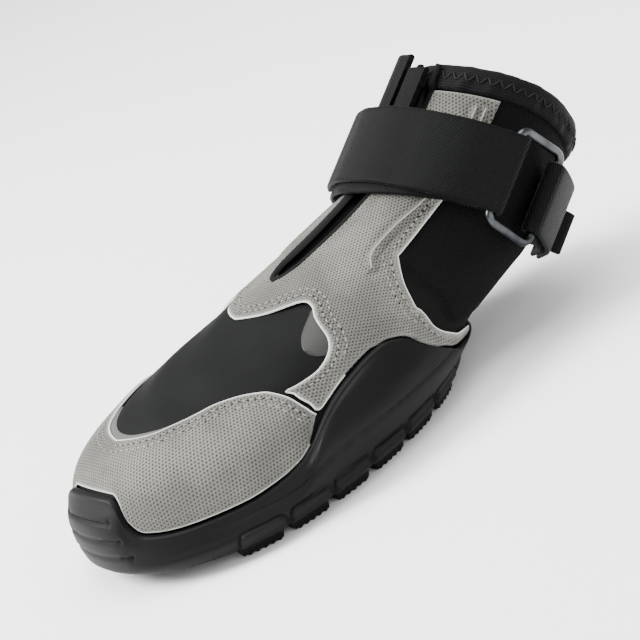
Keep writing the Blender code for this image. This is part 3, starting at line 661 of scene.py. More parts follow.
def buildSole():
    turns = np.linspace(-1, 1, sole["columns"] + 1)
    none = 0 * turns
    crown = rimAt(turns)
    inner = [onLast(crown * share, turns, sole["cup gap"]) for share in np.linspace(0, 1, 7)]
    foot = inner[0].copy()
    foot[:, 2] = sole["floor"] + 0.4 * springAt(foot[:, 1])
    spine = cols(none, np.clip(foot[:, 1], *sole["spine"]), foot[:, 2])
    outline = soleOutline(turns)
    spread = np.c_[outline - inner[0][:, :2], none]
    edge = unit(outwardAt(crown, turns) * np.array([1, 1, 0])) * sole["rim"]
    stations = [onLast(crown * share, turns, sole["cup gap"]) + edge * share + spread * (1 - share)
                for share in (1.0, 0.66, 0.33, 0.0)]
    top = stations[-1][:, 2]
    for inset, share in sole["foot rows"]:
        plan = soleOutline(turns, inset)
        base = sole["tread"] + springAt(plan[:, 1])
        stations.append(np.c_[plan, base + share * (top - base)])
    lip = []
    for angle in np.radians(np.linspace(160, 20, 6)):
        lip.append((inner[-1] + stations[0]) / 2 + (stations[0] - inner[-1]) / 2 * math.cos(angle)
                   + np.array([0, 0, sole["lip"]]) * math.sin(angle))
    table = np.array(stations).reshape(len(stations), -1)
    wall = curveThrough(np.linspace(0.02, 6, 58), table).reshape(58, -1, 3)
    push, low = wallReliefAndShade(wall, turns)
    wall = wall + push[..., None] * unit(np.c_[outline - np.array([[0.0, 3 * mm]]), none])
    # underside, from the tread edge to the spine
    edgeRow = wall[-1].copy()
    underSpine = cols(none, np.clip(edgeRow[:, 1], *sole["spine"]), none)
    under, underGrooveShade = [], []
    for share in np.linspace(0.004, 1, 46):
        row = edgeRow * (1 - share) + underSpine * share
        face, ribs = treadAt(row[:, 0], row[:, 1])
        reach = ease(halfWidthAt(row[:, 1]) - np.abs(row[:, 0]), 3.0 * mm, 3.5 * mm)
        row[:, 2] = springAt(row[:, 1]) + sole["tread"] * (1 - face) + tread["rib"] * ribs
        under.append(row)
        # painted shade in the tread grooves near the edge
        underGrooveShade.append((1 - face) * reach)
    # the lowest wall rows follow the blocks down to the ground
    face, ribs = treadAt(edgeRow[:, 0], edgeRow[:, 1])
    for back, share in enumerate((1.0, 0.72, 0.45, 0.25, 0.12), 1):
        wall[-back][:, 2] -= (sole["tread"] - tread["rib"] * ribs) * face * share
    points = np.concatenate([[spine, foot], inner, lip, wall, under])
    # painted shade in the grooves, kept as the rubber's low value
    dark = np.concatenate([np.zeros((2 + len(inner) + len(lip), len(turns))), low, underGrooveShade])
    obj = laidGrid("cup_sole", points[:, ::-1], values={"low": dark[:, ::-1]})
    finishPiece(obj, rubber, "outsole")


print("sole")
buildSole()

# Upper skin

throat = {
    "tip": 6.82,
    "half width": 3.6 * mm,
    "shares": ((7.1, 0.92), (8.0, 1.08), (9.5, 0.92), (11.0, 0.72)),
    "depth": 1.7 * mm,
    "tape lift": 0.55 * mm,
    "collar lift": 1.5 * mm,  # more where the tape goes over the collar
    "tape half": (0.90 * mm, 1.30 * mm),  # half width at the near side, and what the far adds
    "tape high": 0.70 * mm,
}
skin = {
    "heel seam": ((0.30, 7.30), (0.331, 7.12), (0.437, 6.45), (0.541, 5.30), (0.674, 3.42),
                  (0.80, 2.95), (1.00, 2.85)),
    "lap": 0.35 * mm,
    "seam": 0.30 * mm,
    "quarter fold": 0.35 * mm,
    "window fold": 0.30 * mm,
    "girth": 150.0,
}
heelLine = easedLine(skin["heel seam"])


def turnLength(v):
    return np.linalg.norm(onLast(v, 0.02) - onLast(v, -0.02), axis=-1) / 0.04


def throatHalf(v):
    # half width of the throat as a turn, round at its tip
    rings, shares = np.array(throat["shares"]).T
    near = np.clip((v - throat["tip"]) / (rings[0] - throat["tip"]), 0, 1)
    return np.interp(v, rings, shares) * np.sqrt(near) * throat["half width"] / turnLength(v)


def buildUpper():
    turns = np.linspace(-1, 1, 201)
    outerRows, innerRows = np.linspace(0, topRing, 190), np.linspace(topRing, 0, 56)
    v, u = np.meshgrid(outerRows, turns, indexing="ij")
    side = np.abs(u)
    fall = ease(v, throat["tip"] - 0.1, throat["tip"] + 0.7) * (1 - ease(v, 10.2, 10.6))
    half = np.maximum(throatHalf(v), 0.012)
    pleat = 0.75 + 0.25 * np.cos(u / half * 2.4)
    out = -throat["depth"] * fall * (1 - ease(side, 0.55 * half, 1.05 * half)) * pleat
    # heel seam with the quarter lapped over the panel
    off = (v - heelLine(side)) * np.linalg.norm(slopesAt(v, u)[1], axis=-1)
    behind = ease(side, 0.30, 0.36)
    out += behind * (skin["lap"] * ease(off, -0.9 * mm, 0.9 * mm)
                     - skin["seam"] * bump(off + 0.9 * mm, 0.8 * mm))
    # soft folds of the quarter under the strap, and of the stretch window over the toes
    quarter = ease(side, 0.36, 0.46) * ease(v, 5.6, 7.0) * (1 - ease(v, 9.4, 10.2))
    out += skin["quarter fold"] * quarter * np.sin(v * 4.3 + side * 17) * np.sin(side * 21 + v)
    window = ease(v, 3.6, 4.4) * (1 - ease(v, 6.0, 6.5)) * (1 - ease(side, 0.30, 0.38))
    out += window * (0.35 * mm + skin["window fold"] * np.sin(v * 5.2 + 0.6) * np.cos(u * 6.0)
                     + 0.12 * mm * np.sin(u * 31 + v * 6))
    outer = onLast(v, u, out)
    vi, ui = np.meshgrid(innerRows, turns, indexing="ij")
    points = np.concatenate([outer, onLast(vi, ui, 0 * vi - boot["wall"]), outer[:1]])
    along = np.linalg.norm(np.diff(outer, axis=0), axis=2).cumsum(0)
    along = np.vstack([np.zeros(len(turns)), along])
    uvOuter = cols(u * skin["girth"] / 2, along / mm)
    uvInner = cols(ui * skin["girth"] / 2, vi * 11)
    border = np.interp(outerRows, [0, 4, 6, 8, 11], [0.50, 0.45, 0.40, 0.30, 0.28])[:, None]
    rear = ease(side, border - 0.01, border + 0.01)
    heel = ease(-off, -0.6 * mm, 0.9 * mm) * behind
    values = {"rear": np.concatenate([rear, 0 * vi + 0.4, rear[:1]]),
              "heel": np.concatenate([heel, 0 * vi, heel[:1]])}
    obj = laidGrid("upper_skin", points, np.concatenate([uvOuter, uvInner, uvOuter[:1]]), values)
    finishPiece(obj, fabric, "upper")


print("upper")
buildUpper()

# Mesh overlays

sheet = {
    "base": boot["fit"],
    "insets": (0.3 * mm, 0.7 * mm, 1.2 * mm, 1.75 * mm, 2.3 * mm, 2.9 * mm, 3.5 * mm, 4.2 * mm),
    "pitch": 0.85 * mm,
    "rows": (1.75 * mm, 3.5 * mm),
    "rim": 0.4 * mm,
    "wall": 0.3 * mm,
    "slot": "guard_mesh_grey",
}
guard = {
    **sheet,
    "draw": 0.22 * mm,
    "top": ((0.00, 3.55), (0.09, 3.72), (0.13, 3.88), (0.17, 4.06), (0.20, 4.22), (0.24, 4.29),
            (0.28, 4.25), (0.315, 4.12), (0.365, 3.72), (0.41, 3.12), (0.437, 2.60)),
}
saddle = {
    **sheet,
    "slot": "saddle_mesh_grey",
    "draw": 0.20 * mm,
    "front": ((0.00, 6.08), (0.09, 6.20), (0.165, 6.39), (0.21, 6.28), (0.25, 6.00),
              (0.32, 5.50), (0.358, 5.12), (0.38, 4.72), (0.385, 4.33), (0.366, 4.10),
              (0.345, 4.02)),
    "join": ((0.369, 3.83), (0.415, 3.22), (0.438, 2.78), (0.446, 3.1), (0.453, 3.9), (0.465, 4.42)),
    "rear": ((0.775, 1.36), (0.78, 1.65), (0.765, 2.0), (0.735, 2.18), (0.70, 2.40), (0.66, 2.95),
             (0.615, 3.55), (0.57, 4.22), (0.52, 5.00), (0.46, 5.83), (0.39, 6.56), (0.325, 7.17)),
    "upper rear": ((0.325, 7.17), (0.325, 8.20), (0.34, 9.50)),
    "ridge": (0.85 * mm, 0.62 * mm),  # height, half width
    "ridge trough": (0.30 * mm, 0.45 * mm, 1.35 * mm),  # depth, half width, distance
    "ridges": (
        ((0.265, 10.3), (0.268, 9.9), (0.280, 8.7), (0.272, 8.25), (0.250, 7.82), (0.247, 7.38),
         (0.259, 7.15), (0.288, 6.90)),
        ((0.298, 10.3), (0.300, 9.9), (0.308, 8.8), (0.300, 8.3)),
    ),
}
sliver = {
    **sheet,
    "base": 0.12 * mm,
    "insets": (0.3 * mm, 0.8 * mm),
    "pitch": 1.2 * mm,
    "rows": (),
    "rim": 0.2 * mm,
    "wall": 0.15 * mm,
    "toe half turn": 0.155,
    "back": ((0.215, 6.33), (0.26, 6.02), (0.33, 5.50), (0.37, 5.12), (0.39, 4.80)),
    "front": ((0.374, 4.78), (0.345, 4.90), (0.300, 5.20), (0.255, 5.66), (0.215, 6.20)),
}
binding = {
    "height": 5.6 * mm,
    "thick": 1.2 * mm,
    "crown": 1.9 * mm,
    "outside": ((0.0, -0.10), (0.0, 0.60), (0.06, 1.05), (0.2, 1.25), (0.35, 1.30), (0.5, 1.30),
                (0.65, 1.27), (0.8, 1.23), (0.92, 1.10)),  # share of the height, mm off the fit
    "over": (30, 60, 90, 120, 150),  # degrees round the top edge
    "inside": (0.92, 0.7, 0.4, 0.1),
    "zigzag": 1.5 * mm,
    "zigzag between": (0.42, 0.80),
    "zigzag lift": 1.5 * mm,
}
rimClearance = 0.13
flatScale = np.array([1.45 * boot["ball"], 0.2 * boot["instep"]])


def insideOutline(points, outline):
    x, y = points[:, 0][:, None], points[:, 1][:, None]
    x0, y0 = outline[:, 0], outline[:, 1]
    x1, y1 = np.roll(x0, -1), np.roll(y0, -1)
    rise = np.where(np.abs(y1 - y0) < 1e-12, 1e-12, y1 - y0)
    crossing = ((y0 > y) != (y1 > y)) & (x < (x1 - x0) * (y - y0) / rise + x0)
    return crossing.sum(1) % 2 == 1


def inwardSteps(outline):
    # change of turn and ring that goes one metre inwards from each point of an outline
    u, v = outline.T
    across, upward = slopesAt(v, u)
    place = laid(outline)
    run = unit(np.roll(place, -1, 0) - np.roll(place, 1, 0))
    flat = outline * flatScale
    ahead = np.roll(flat, -1, 0)
    area = np.sum(flat[:, 0] * ahead[:, 1] - ahead[:, 0] * flat[:, 1])
    inward = np.cross(outwardAt(v, u), run) * np.sign(area)
    aa, ab, bb = (across * across).sum(1), (across * upward).sum(1), (upward * upward).sum(1)
    pa, pb = (across * inward).sum(1), (upward * inward).sum(1)
    return cols(pa * bb - pb * ab, pb * aa - pa * ab) / (aa * bb - ab * ab)[:, None]


def distanceTree(points):
    tree = KDTree(len(points))
    for k, p in enumerate(points):
        tree.insert(p, k)
    tree.balance()
    return tree


def distances(tree, points):
    return np.array([tree.find(Vector(p))[2] for p in points])


def polishUv(obj):
    # unwraps the sheet, then turns and scales the map to millimetres of cloth
    mesh = obj.data
    mesh.uv_layers.new(name="cloth")
    editAll(obj)
    bpy.ops.uv.unwrap(method="ANGLE_BASED", margin=0.0)
    backToObject()
    layer = mesh.uv_layers["cloth"]
    flat = readOut(layer.data, "uv", 2)
    corner = readOut(mesh.loops, "vertex_index", 1, int)[:, 0]
    place = readOut(mesh.vertices, "co", 3)[corner]
    tri, solid = flat.reshape(-1, 3, 2), place.reshape(-1, 3, 3)
    a, b = tri[:, 1] - tri[:, 0], tri[:, 2] - tri[:, 0]
    uvArea = np.abs(a[:, 0] * b[:, 1] - a[:, 1] * b[:, 0]).sum()
    area = np.linalg.norm(np.cross(solid[:, 1] - solid[:, 0], solid[:, 2] - solid[:, 0]), axis=1).sum()
    flat = (flat - flat.mean(0)) * math.sqrt(area / uvArea) / mm
    # the map's y axis runs towards the heel
    direction = (flat * (place[:, 1] - place[:, 1].mean())[:, None]).sum(0)
    angle = math.atan2(*direction)
    c, s = math.cos(angle), math.sin(angle)
    layer.data.foreach_set("uv", (flat @ [[c, s], [-s, c]]).astype(np.float32).ravel())


def cutSheet(name, outline, look, heightAt, material, replaced=None, marks=None):
    tree = distanceTree(laid(outline))
    steps = inwardSteps(outline)
    runs = [outline]
    for inset in look["insets"]:
        row = outline + steps * inset
        keep = (distances(tree, laid(row)) > 0.86 * inset) & insideOutline(row, outline)
        keep &= np.arange(len(row)) % max(1, int(round(inset / (1.2 * mm)))) == 0
        runs.append(row[keep])
    pitch = look["pitch"]
    low, high = (outline * flatScale).min(0), (outline * flatScale).max(0)
    rows = int((high[1] - low[1]) / (0.87 * pitch)) + 1
    half = int((high[0] - low[0]) / pitch / 2) + 1
    grid = np.array([((c + 0.5 * (r % 2)) * pitch, low[1] + r * 0.87 * pitch)
                     for r in range(rows + 1) for c in range(-half, half + 1)]) / flatScale
    grid = grid[insideOutline(grid, outline)]
    runs.append(grid[distances(tree, laid(grid)) > look["insets"][-1] + 0.5 * pitch])
    count = len(outline)
    edges = [(k, (k + 1) % count) for k in range(count)]
    spots = [Vector(p) for p in np.concatenate(runs) * flatScale]
    flat, _, tris = delaunay_2d_cdt(spots, edges, [], 1, 1e-8)[:3]
    run = np.array([tuple(p) for p in flat]) / flatScale
    far = distances(tree, laid(run))
    obj = linkedMesh(name, laid(run, look["base"] + heightAt(run, far)), tris)
    edge = 1 - ease(far, look["rim"] * 0.6, look["rim"] * 1.3)
    seam = np.max([0 * far] + [bump(far - row, 0.45 * mm) for row in look["rows"]], axis=0)
    if marks is not None:
        # marks can add to the pale rim, and painted shade to the darker seam rows
        crest, ridgeTroughShade = marks(run)
        edge, seam = np.maximum(edge, crest), np.maximum(seam, ridgeTroughShade)
    setValue(obj.data, "edge", edge)
    # darker along the stitch rows; on the saddle it also holds painted shade beside the ridges
    setValue(obj.data, "seam", seam)
    polishUv(obj)
    solid = obj.modifiers.new("cloth", "SOLIDIFY")
    solid.thickness = look["wall"]
    solid.offset = -1
    only(obj)
    bpy.ops.object.modifier_apply(modifier=solid.name)
    smooth(obj, 60)
    print(name, len(obj.data.polygons), "faces")
    finishPiece(obj, material, replaced)


def sheetHeight(look, far):
    # rounded cut edge, then the full cloth, drawn in along the stitch rows
    share = np.clip(far / (0.7 * mm), 0, 1)
    height = boot["cloth"] * (0.35 + 0.65 * np.sqrt(1 - (1 - share) ** 2))
    return height - sum(look["draw"] * bump(far - row, 0.42 * mm) for row in look["rows"])


def guardHeight(run, far):
    return sheetHeight(guard, far)


def saddleHeight(run, far):
    near = distances(ridgeTree, laid(run))
    high, wide = saddle["ridge"]
    deep, half, away = saddle["ridge trough"]
    ridge = high * bump(near, wide) - deep * bump(near - away, half)
    return sheetHeight(saddle, far) + ridge * ease(far, 0.2 * mm, 1.2 * mm)


def saddleMarks(run):
    # pale border along the rear edge, and painted shade in the troughs beside the ridges
    near = distances(ridgeTree, laid(run))
    border = 0.40 * (1 - ease(distances(rearTree, laid(run)), 0.9 * mm, 1.5 * mm))
    return border, 2.2 * bump(near - 1.2 * mm, 0.40 * mm)


def sliverHeight(run, far):
    return 0.45 * mm * np.sqrt(np.clip(far / (0.5 * mm), 0.05, 1))


def tidyOutline(outline):
    # drops points that lie closer than the sampling allows
    place = laid(outline)
    keep = [0]
    for k in range(1, len(outline)):
        if np.linalg.norm(place[k] - place[keep[-1]]) > 0.25 * mm:
            keep.append(k)
    if np.linalg.norm(place[keep[-1]] - place[0]) < 0.25 * mm:
        keep.pop()
    return outline[keep]


def mirroredOutline(half):
    other = onSide(half[::-1], -1)
    return tidyOutline(np.concatenate([half, other[np.abs(other[:, 0]) > 1e-6]]))


def aboveRim(u):
    # the rim's run, raised so that a thick sheet clears it
    v = rimAt(u) + rimClearance
    climb = (skinAt(v + 0.05, u) - skinAt(v - 0.05, u))[..., 2] / 0.1
    drop = np.maximum(0, -outwardAt(v, u)[..., 2]) * (boot["fit"] + boot["cloth"])
    return cols(u, v + drop / np.maximum(climb, 2 * mm))


def belowCollar(u, distance=binding["height"] + boot["fit"]):
    ring = np.linalg.norm(onLast(topRing, u) - onLast(topRing - 0.1, u), axis=-1) / 0.1
    return topRing - distance / ring


guardTop = softRun(guard["top"])
guardFoot = aboveRim(np.linspace(0.436, 0, 260))
guardOutline = mirroredOutline(np.concatenate([guardTop, guardFoot]))

frontRun, joinRun, rearRun, upperRearRun = (softRun(saddle[key]) for key in
                                            ("front", "join", "rear", "upper rear"))
topTurns = np.linspace(0.338, 0.05, 44)
topRun = cols(topTurns, belowCollar(topTurns))
throatRings = np.linspace(topRun[-1, 1], throat["tip"] + 1e-4, 160)
throatRun = cols(throatHalf(throatRings), throatRings)
saddleOutline = mirroredOutline(np.concatenate(
    [frontRun, joinRun, aboveRim(np.linspace(0.478, 0.765, 150)), rearRun, upperRearRun[1:], topRun,
     throatRun, [[0.0, throat["tip"]]]]))
ridgeRuns = [softRun(points, 0.4 * mm) for points in saddle["ridges"]]
ridgeTree = distanceTree(np.concatenate([laid(onSide(run, side)) for run in ridgeRuns
                                         for side, _ in bothSides]))
rearTree = distanceTree(np.concatenate([laid(onSide(rearRun, side)) for side, _ in bothSides]))


def buildSlivers():
    # smooth film that shows inside the window's edges
    half = sliver["toe half turn"]
    turns = np.linspace(-half, half, 90)
    top = easedLine(guard["top"])(np.abs(turns))
    width = 0.17 * np.sqrt(np.clip(1 - (turns / half) ** 2, 0, 1))
    upper, lower = cols(turns, top + 0.02 + width), cols(turns, top - 0.10)
    toe = tidyOutline(np.concatenate([lower[::-1], upper]))
    cutSheet("toe_sliver", toe, sliver, sliverHeight, filmToe)
    for side, name in bothSides:
        outline = tidyOutline(np.concatenate([softRun(sliver["back"]), softRun(sliver["front"])]))
        look = {**sliver, "slot": saddle["slot"]}
        cutSheet("window_sliver_" + name, onSide(outline, side), look, sliverHeight, film)


print("overlays")
cutSheet("toe_guard_mesh", guardOutline, guard, guardHeight, meshGuard, "toe_guard")
cutSheet("saddle_mesh", saddleOutline, saddle, saddleHeight, meshSaddle, "saddle", saddleMarks)
buildSlivers()

# Light piping on the cut edges, light cords painted as highlights on the saddle's ridges, stitch rows
# inside them

stitch = {
    "pitch": 1.75 * mm,
    "size": (1.15 * mm, 0.36 * mm, 0.34 * mm),
    "hole": (0.62 * mm, 0.55 * mm, 0.22 * mm),
    "hole ahead": 0.87 * mm,
    "hole sunk": 0.10 * mm,
}


def edgeCord(name, run, radius, out=boot["fit"] + 0.45 * mm, material=piping):
    cord = tube(name, laid(run, out), 8, radius, radius, outwardAt(run[:, 1], run[:, 0]))
    finishPiece(cord, material)


def roundTheToe(run):
    return np.concatenate([onSide(run, -1)[::-1], run[1:]])


def stitchSeed():
    bpy.ops.object.select_all(action="DESELECT")
    bpy.ops.mesh.primitive_uv_sphere_add(segments=8, ring_count=6, radius=0.5)
    obj = bpy.context.object
    co = np.array([v.co for v in obj.data.vertices])
    faces = [tuple(p.vertices) for p in obj.data.polygons]
    bpy.data.objects.remove(obj, do_unlink=True)
    return co, faces


stitchCo, stitchFaces = stitchSeed()


def sewn(name, centers, runs, lifts, size, material):
    # copies of one stitch: its length runs along the row, its height off the cloth
    runs = unit(runs)
    lifts = unit(lifts - runs * np.sum(lifts * runs, -1, keepdims=True))
    axes = np.stack([runs, np.cross(runs, lifts), lifts], 1) * np.array(size)[:, None]
    points = centers[:, None] + stitchCo @ axes
    faces = [[k + n * len(stitchCo) for k in face] for n in range(len(centers))
             for face in stitchFaces]
    obj = linkedMesh(name, points.reshape(-1, 3), faces)
    editAll(obj)
    bpy.ops.mesh.normals_make_consistent(inside=False)
    backToObject()
    smooth(obj, 80)
    finishPiece(obj, material)


def stitchRow(run, outline, inset, look):
    # places, directions and lifts of the stitches of a row at an inset from the cloth's edge
    tree = distanceTree(np.c_[outline * flatScale, 0 * outline[:, 0]])
    near = [tree.find(Vector((x, y, 0)))[1] for x, y in run * flatScale]
    row = run + inwardSteps(outline)[near] * inset
    place = laid(row)
    keep = distances(distanceTree(laid(outline)), place) > 0.85 * inset
    row, place = row[keep], place[keep]
    total = lengthAlong(place)
    want = np.arange(stitch["pitch"], total[-1] - stitch["pitch"], stitch["pitch"])
    want = want[np.interp(want, total[1:], np.diff(total)) < 2.2 * mm]
    spots = sampled(want, total, row)
    ahead = sampled(want + 0.3 * mm, total, place) - sampled(want - 0.3 * mm, total, place)
    center = laid(spots, look["base"] + boot["cloth"] - look["draw"] + 0.10 * mm)
    return center, ahead, outwardAt(spots[:, 1], spots[:, 0])


def sewRows(name, rows, outline, look):
    parts = [stitchRow(onSide(run, side), outline, inset, look)
             for run, insets in rows for inset in insets for side, _ in bothSides]
    centers, runs, lifts = (np.concatenate(part) for part in zip(*parts))
    sewn(name, centers, runs, lifts, stitch["size"], threadLight)
    holes = centers + unit(runs) * stitch["hole ahead"] - unit(lifts) * stitch["hole sunk"]
    sewn(name + "_holes", holes, runs, lifts, stitch["hole"], needleHole)


def buildThroatTape():
    # folded tape round the throat's edge, up over the collar at both ends
    rings = np.concatenate([np.linspace(topRing, throatRings[0], 14)[:-1], throatRings])
    side = cols(throatHalf(rings), rings)
    far = onSide(side, -1) - cols(1.3 * mm / turnLength(rings), 0 * rings)
    run = np.concatenate([side, [[0.0, throat["tip"] - 0.03]], far[::-1]])
    rise = throat["collar lift"] * ease(run[:, 1], throatRings[0] - 0.05, throatRings[0] + 0.1)
    path = laid(run, boot["fit"] + throat["tape lift"] + rise)
    lift = outwardAt(np.minimum(run[:, 1], topRing - 0.01), run[:, 0])
    total = lengthAlong(path)
    want = np.linspace(0, total[-1], int(total[-1] / (0.5 * mm)))
    near, more = throat["tape half"]
    wide = near + more * ease(want / total[-1], 0.50, 0.60)
    obj = tube("throat_tape", sampled(want, total, path), 12, wide, throat["tape high"],
               sampled(want, total, lift))
    finishPiece(obj, throatTape)


print("edges and stitches")
edgeCord("guard_top_piping", roundTheToe(guardTop), 0.26 * mm)
edgeCord("guard_foot_piping", roundTheToe(guardFoot[::-1]), 0.20 * mm)
edgeCord("saddle_front_piping", roundTheToe(np.concatenate([frontRun, joinRun[:-16]])), 0.26 * mm)
for side, name in bothSides:
    rearEdge = onSide(np.concatenate([rearRun, upperRearRun[1:]]), side)
    edgeCord("saddle_rear_piping_" + name, rearEdge, 0.20 * mm)
# light cords along the crests of the saddle's ridges: a painted highlight
for k, run in enumerate(ridgeRuns):
    for side, name in bothSides:
        edgeCord("saddle_ridge_%d_%s" % (k, name), onSide(run, side), 0.20 * mm,
                 boot["fit"] + boot["cloth"] + 0.68 * mm, threadLight)
sewRows("guard_stitches", ((guardTop, guard["rows"]),), guardOutline, guard)
sewRows("saddle_stitches", ((frontRun, saddle["rows"]), (rearRun, saddle["rows"]),
                            (upperRearRun, saddle["rows"][:1])), saddleOutline, saddle)
buildThroatTape()


# Collar binding with zigzag stitching

def puckerAt(turns):
    return (0.22 * np.sin(turns * 46) + 0.16 * np.sin(turns * 71 + 1) + 0.10 * np.sin(turns * 113)) * mm


def buildCollar():
    turns = np.linspace(-1, 1, 241)
    low = belowCollar(turns, binding["height"])
    up = unit(onLast(topRing, turns) - onLast(topRing - 0.05, turns))
    fit, inside = boot["fit"], -boot["wall"] - boot["fit"] - binding["thick"]
    pucker = puckerAt(turns)
    rows = []
    for share, away in binding["outside"]:
        ripple = pucker * math.sin(math.pi * min(1, share + 0.15))
        rows.append(onLast(low + (topRing - low) * share, turns, fit + away * mm + ripple))
    outerTop, innerTop = rows[-1], onLast(topRing - (topRing - low) * 0.08, turns, inside)
    for angle in np.radians(binding["over"]):
        rows.append((outerTop + innerTop) / 2 + (outerTop - innerTop) / 2 * math.cos(angle)
                    + up * (binding["crown"] * math.sin(angle) + 0.25 * pucker[:, None]))
    for share in binding["inside"]:
        rows.append(onLast(low + (topRing - low) * share, turns, inside))
    rows.append(onLast(low, turns, -boot["wall"] - 0.1 * mm))
    points = np.array(rows + rows[:1])
    around, down = lengthAlong(points[4]), lengthAlong(points[:, 120])
    uv = cols(around[None, :], down[:, None]) / mm
    finishPiece(laidGrid("collar_tape", points, uv), tape, "collar_binding")
    # zigzag
    count = int(around[-1] / binding["zigzag"]) // 2 * 2
    u = np.interp(np.linspace(0, around[-1], count + 1), around, turns)
    share = np.where(np.arange(count + 1) % 2 == 0, *binding["zigzag between"])
    lowAt = np.interp(u, turns, low)
    v = lowAt + (topRing - lowAt) * share
    corner = onLast(v, u, fit + binding["zigzag lift"] + np.interp(u, turns, pucker) * 0.9)
    runs = corner[1:] - corner[:-1]
    length = float(np.mean(np.linalg.norm(runs, axis=1)))
    sewn("collar_zigzag", (corner[1:] + corner[:-1]) / 2, runs,
         outwardAt((v[1:] + v[:-1]) / 2, (u[1:] + u[:-1]) / 2),
         (length * 1.02, 0.34 * mm, 0.30 * mm), threadDark)


print("collar")
buildCollar()

# Strap, ring, keeper and tab: each is a path of plan points round the shaft with a rise

strap = {
    "width": 20 * mm,
    "thick": 1.3 * mm,
    "height": 79.1 * mm,
    "lean": math.radians(35),
    "side room": 0.6 * mm,
    "under drop": 2.2 * mm,
    "bulge": 1.2 * mm,
    "wire": 2.2 * mm,
    "ring span": 14.5 * mm,
    "ring bend": 2.4 * mm,
    "ring room": 0.7 * mm,
    "ring degrees": 80,
    "keeper": 18 * mm,
    "keeper under": (158, 148, 138),  # degrees round the shaft
    "keeper over": ((138, 0.6 * mm), (148, 0.0), (158, 0.0)),  # degrees, looseness
    "tab width": 11 * mm,
    "tab thick": 1.15 * mm,
    "tab length": 8.5 * mm,
    "tab degrees": 168,
    "tab lean": 140,
    "tab bow": 1.2 * mm,
    "tab fold": ((0.0, -0.66), (0.35, -0.62), (0.7, -0.60), (0.93, -0.5), (1.0, 0.0)),  # share, mm
    "end thick": 1.7 * mm,
    "rise": ((-180, 3.0 * mm), (-60, 0.5 * mm), (0, 0.0), (45, 1.2 * mm), (80, 3.6 * mm),
             (180, 4.0 * mm)),
    # name, degrees, place off the shaft, rise, height
    "ends": (("long", (-8, -4, 0, 4), -0.4 * mm, 16.6 * mm, 18 * mm),
             ("short", (7, 11, 15, 20), -0.8 * mm, 15.0 * mm, 14 * mm)),
}
shaftUp = np.array([0, math.cos(strap["lean"]), math.sin(strap["lean"])])
shaftBack = np.array([0, math.sin(strap["lean"]), -math.cos(strap["lean"])])
under = strap["thick"] / 2 + boot["fit"]
over = under + strap["thick"] + boot["fit"]


def riseAt(degrees):
    angles, rises = np.array(strap["rise"]).T
    return np.interp(degrees, angles, rises)


def convexHull(points):
    order = sorted(map(tuple, points))

    def chain(run):
        kept = []
        for p in run:
            while len(kept) > 1 and ((kept[-1][0] - kept[-2][0]) * (p[1] - kept[-2][1])
                                     - (kept[-1][1] - kept[-2][1]) * (p[0] - kept[-2][0])) <= 0:
                kept.pop()
            kept.append(p)
        return kept[:-1]
    return np.array(chain(order) + chain(order[::-1]))


def shaftSection():
    v, u = np.meshgrid(np.linspace(5.5, topRing, 56), np.linspace(-1, 1, 121))
    cloud = onLast(v, u, 2 * boot["fit"] + boot["cloth"]).reshape(-1, 3)
    plan = cols(cloud[:, 0], cloud @ shaftBack)
    turned = plan - (plan.min(0) + plan.max(0)) / 2
    degrees = np.degrees(np.arctan2(turned[:, 0], -turned[:, 1]))
    level = cloud @ shaftUp - strap["height"] - riseAt(degrees)
    reach = strap["width"] / 2 + strap["side room"]
    plan = plan[(level > -reach - strap["under drop"]) & (level < reach)]
    center = (plan.min(0) + plan.max(0)) / 2
    return center, convexHull(plan - center)


hullCenter, hullEdge = shaftSection()


def compass(degrees):
    return np.array([math.sin(math.radians(degrees)), -math.cos(math.radians(degrees))])


def planAt(degrees, out):
    direction = compass(degrees)
    ahead = np.roll(hullEdge, -1, axis=0)
    side = unit(cols(ahead[:, 1] - hullEdge[:, 1], hullEdge[:, 0] - ahead[:, 0]))
    facing = side @ direction
    reach = np.min(np.sum(side * hullEdge, 1)[facing > 1e-6] / facing[facing > 1e-6])
    return hullCenter + (reach + out) * direction


def station(degrees, out, lower=0.0):
    return planAt(degrees, out), float(riseAt(degrees)) - lower


def inSpace(plan, rise):
    return (plan[..., :1] * np.array([1.0, 0, 0]) + plan[..., 1:] * shaftBack
            + (strap["height"] + np.asarray(rise))[..., None] * shaftUp)


def band(name, path, width, replaced=None, thick=strap["thick"]):
    # webbing through plan points that each have a rise, with rounded selvedges
    table = np.array([[*p, rise] for p, rise in path])
    fine = curveThrough(np.linspace(0, len(table) - 1, 12 * len(table)), table)
    run = lengthAlong(fine)
    want = np.linspace(0, run[-1], max(2, int(round(run[-1] / (0.7 * mm))) + 1))
    fine = sampled(want, run, fine)
    plan, rise = fine[:, :2], fine[:, 2]
    run = unit(np.vstack([plan[1:], plan[-1:]]) - np.vstack([plan[:1], plan[:-1]]))
    side = cols(run[:, 1], -run[:, 0]) * (thick / 2 - 0.05 * mm)
    face = [(-1.0, -0.35), (-0.975, -0.85), *((a, -1.0) for a in np.linspace(-0.93, 0.93, 13)),
            (0.975, -0.85), (1.0, -0.35)]
    section = face + [(-a, -h) for a, h in face] + face[:1]
    points = np.stack([inSpace(plan + side * away, rise + across * (width / 2 - 0.05 * mm))
                       for across, away in section], 1)
    across = np.array([a for a, _ in section]) * width / 2
    uv = cols(lengthAlong(plan)[:, None], across[None]) / mm
    finishPiece(laidGrid(name, points, uv, caps=True), webbing, replaced)


def ringBars():
    clear = strap["wire"] / 2 + strap["thick"] + 2 * boot["fit"]
    angle = strap["ring degrees"]
    front = rear = planAt(angle, clear)
    while np.linalg.norm(rear - front) < strap["ring span"]:
        angle += 0.5
        rear = planAt(angle, clear)
    return front, angle, rear


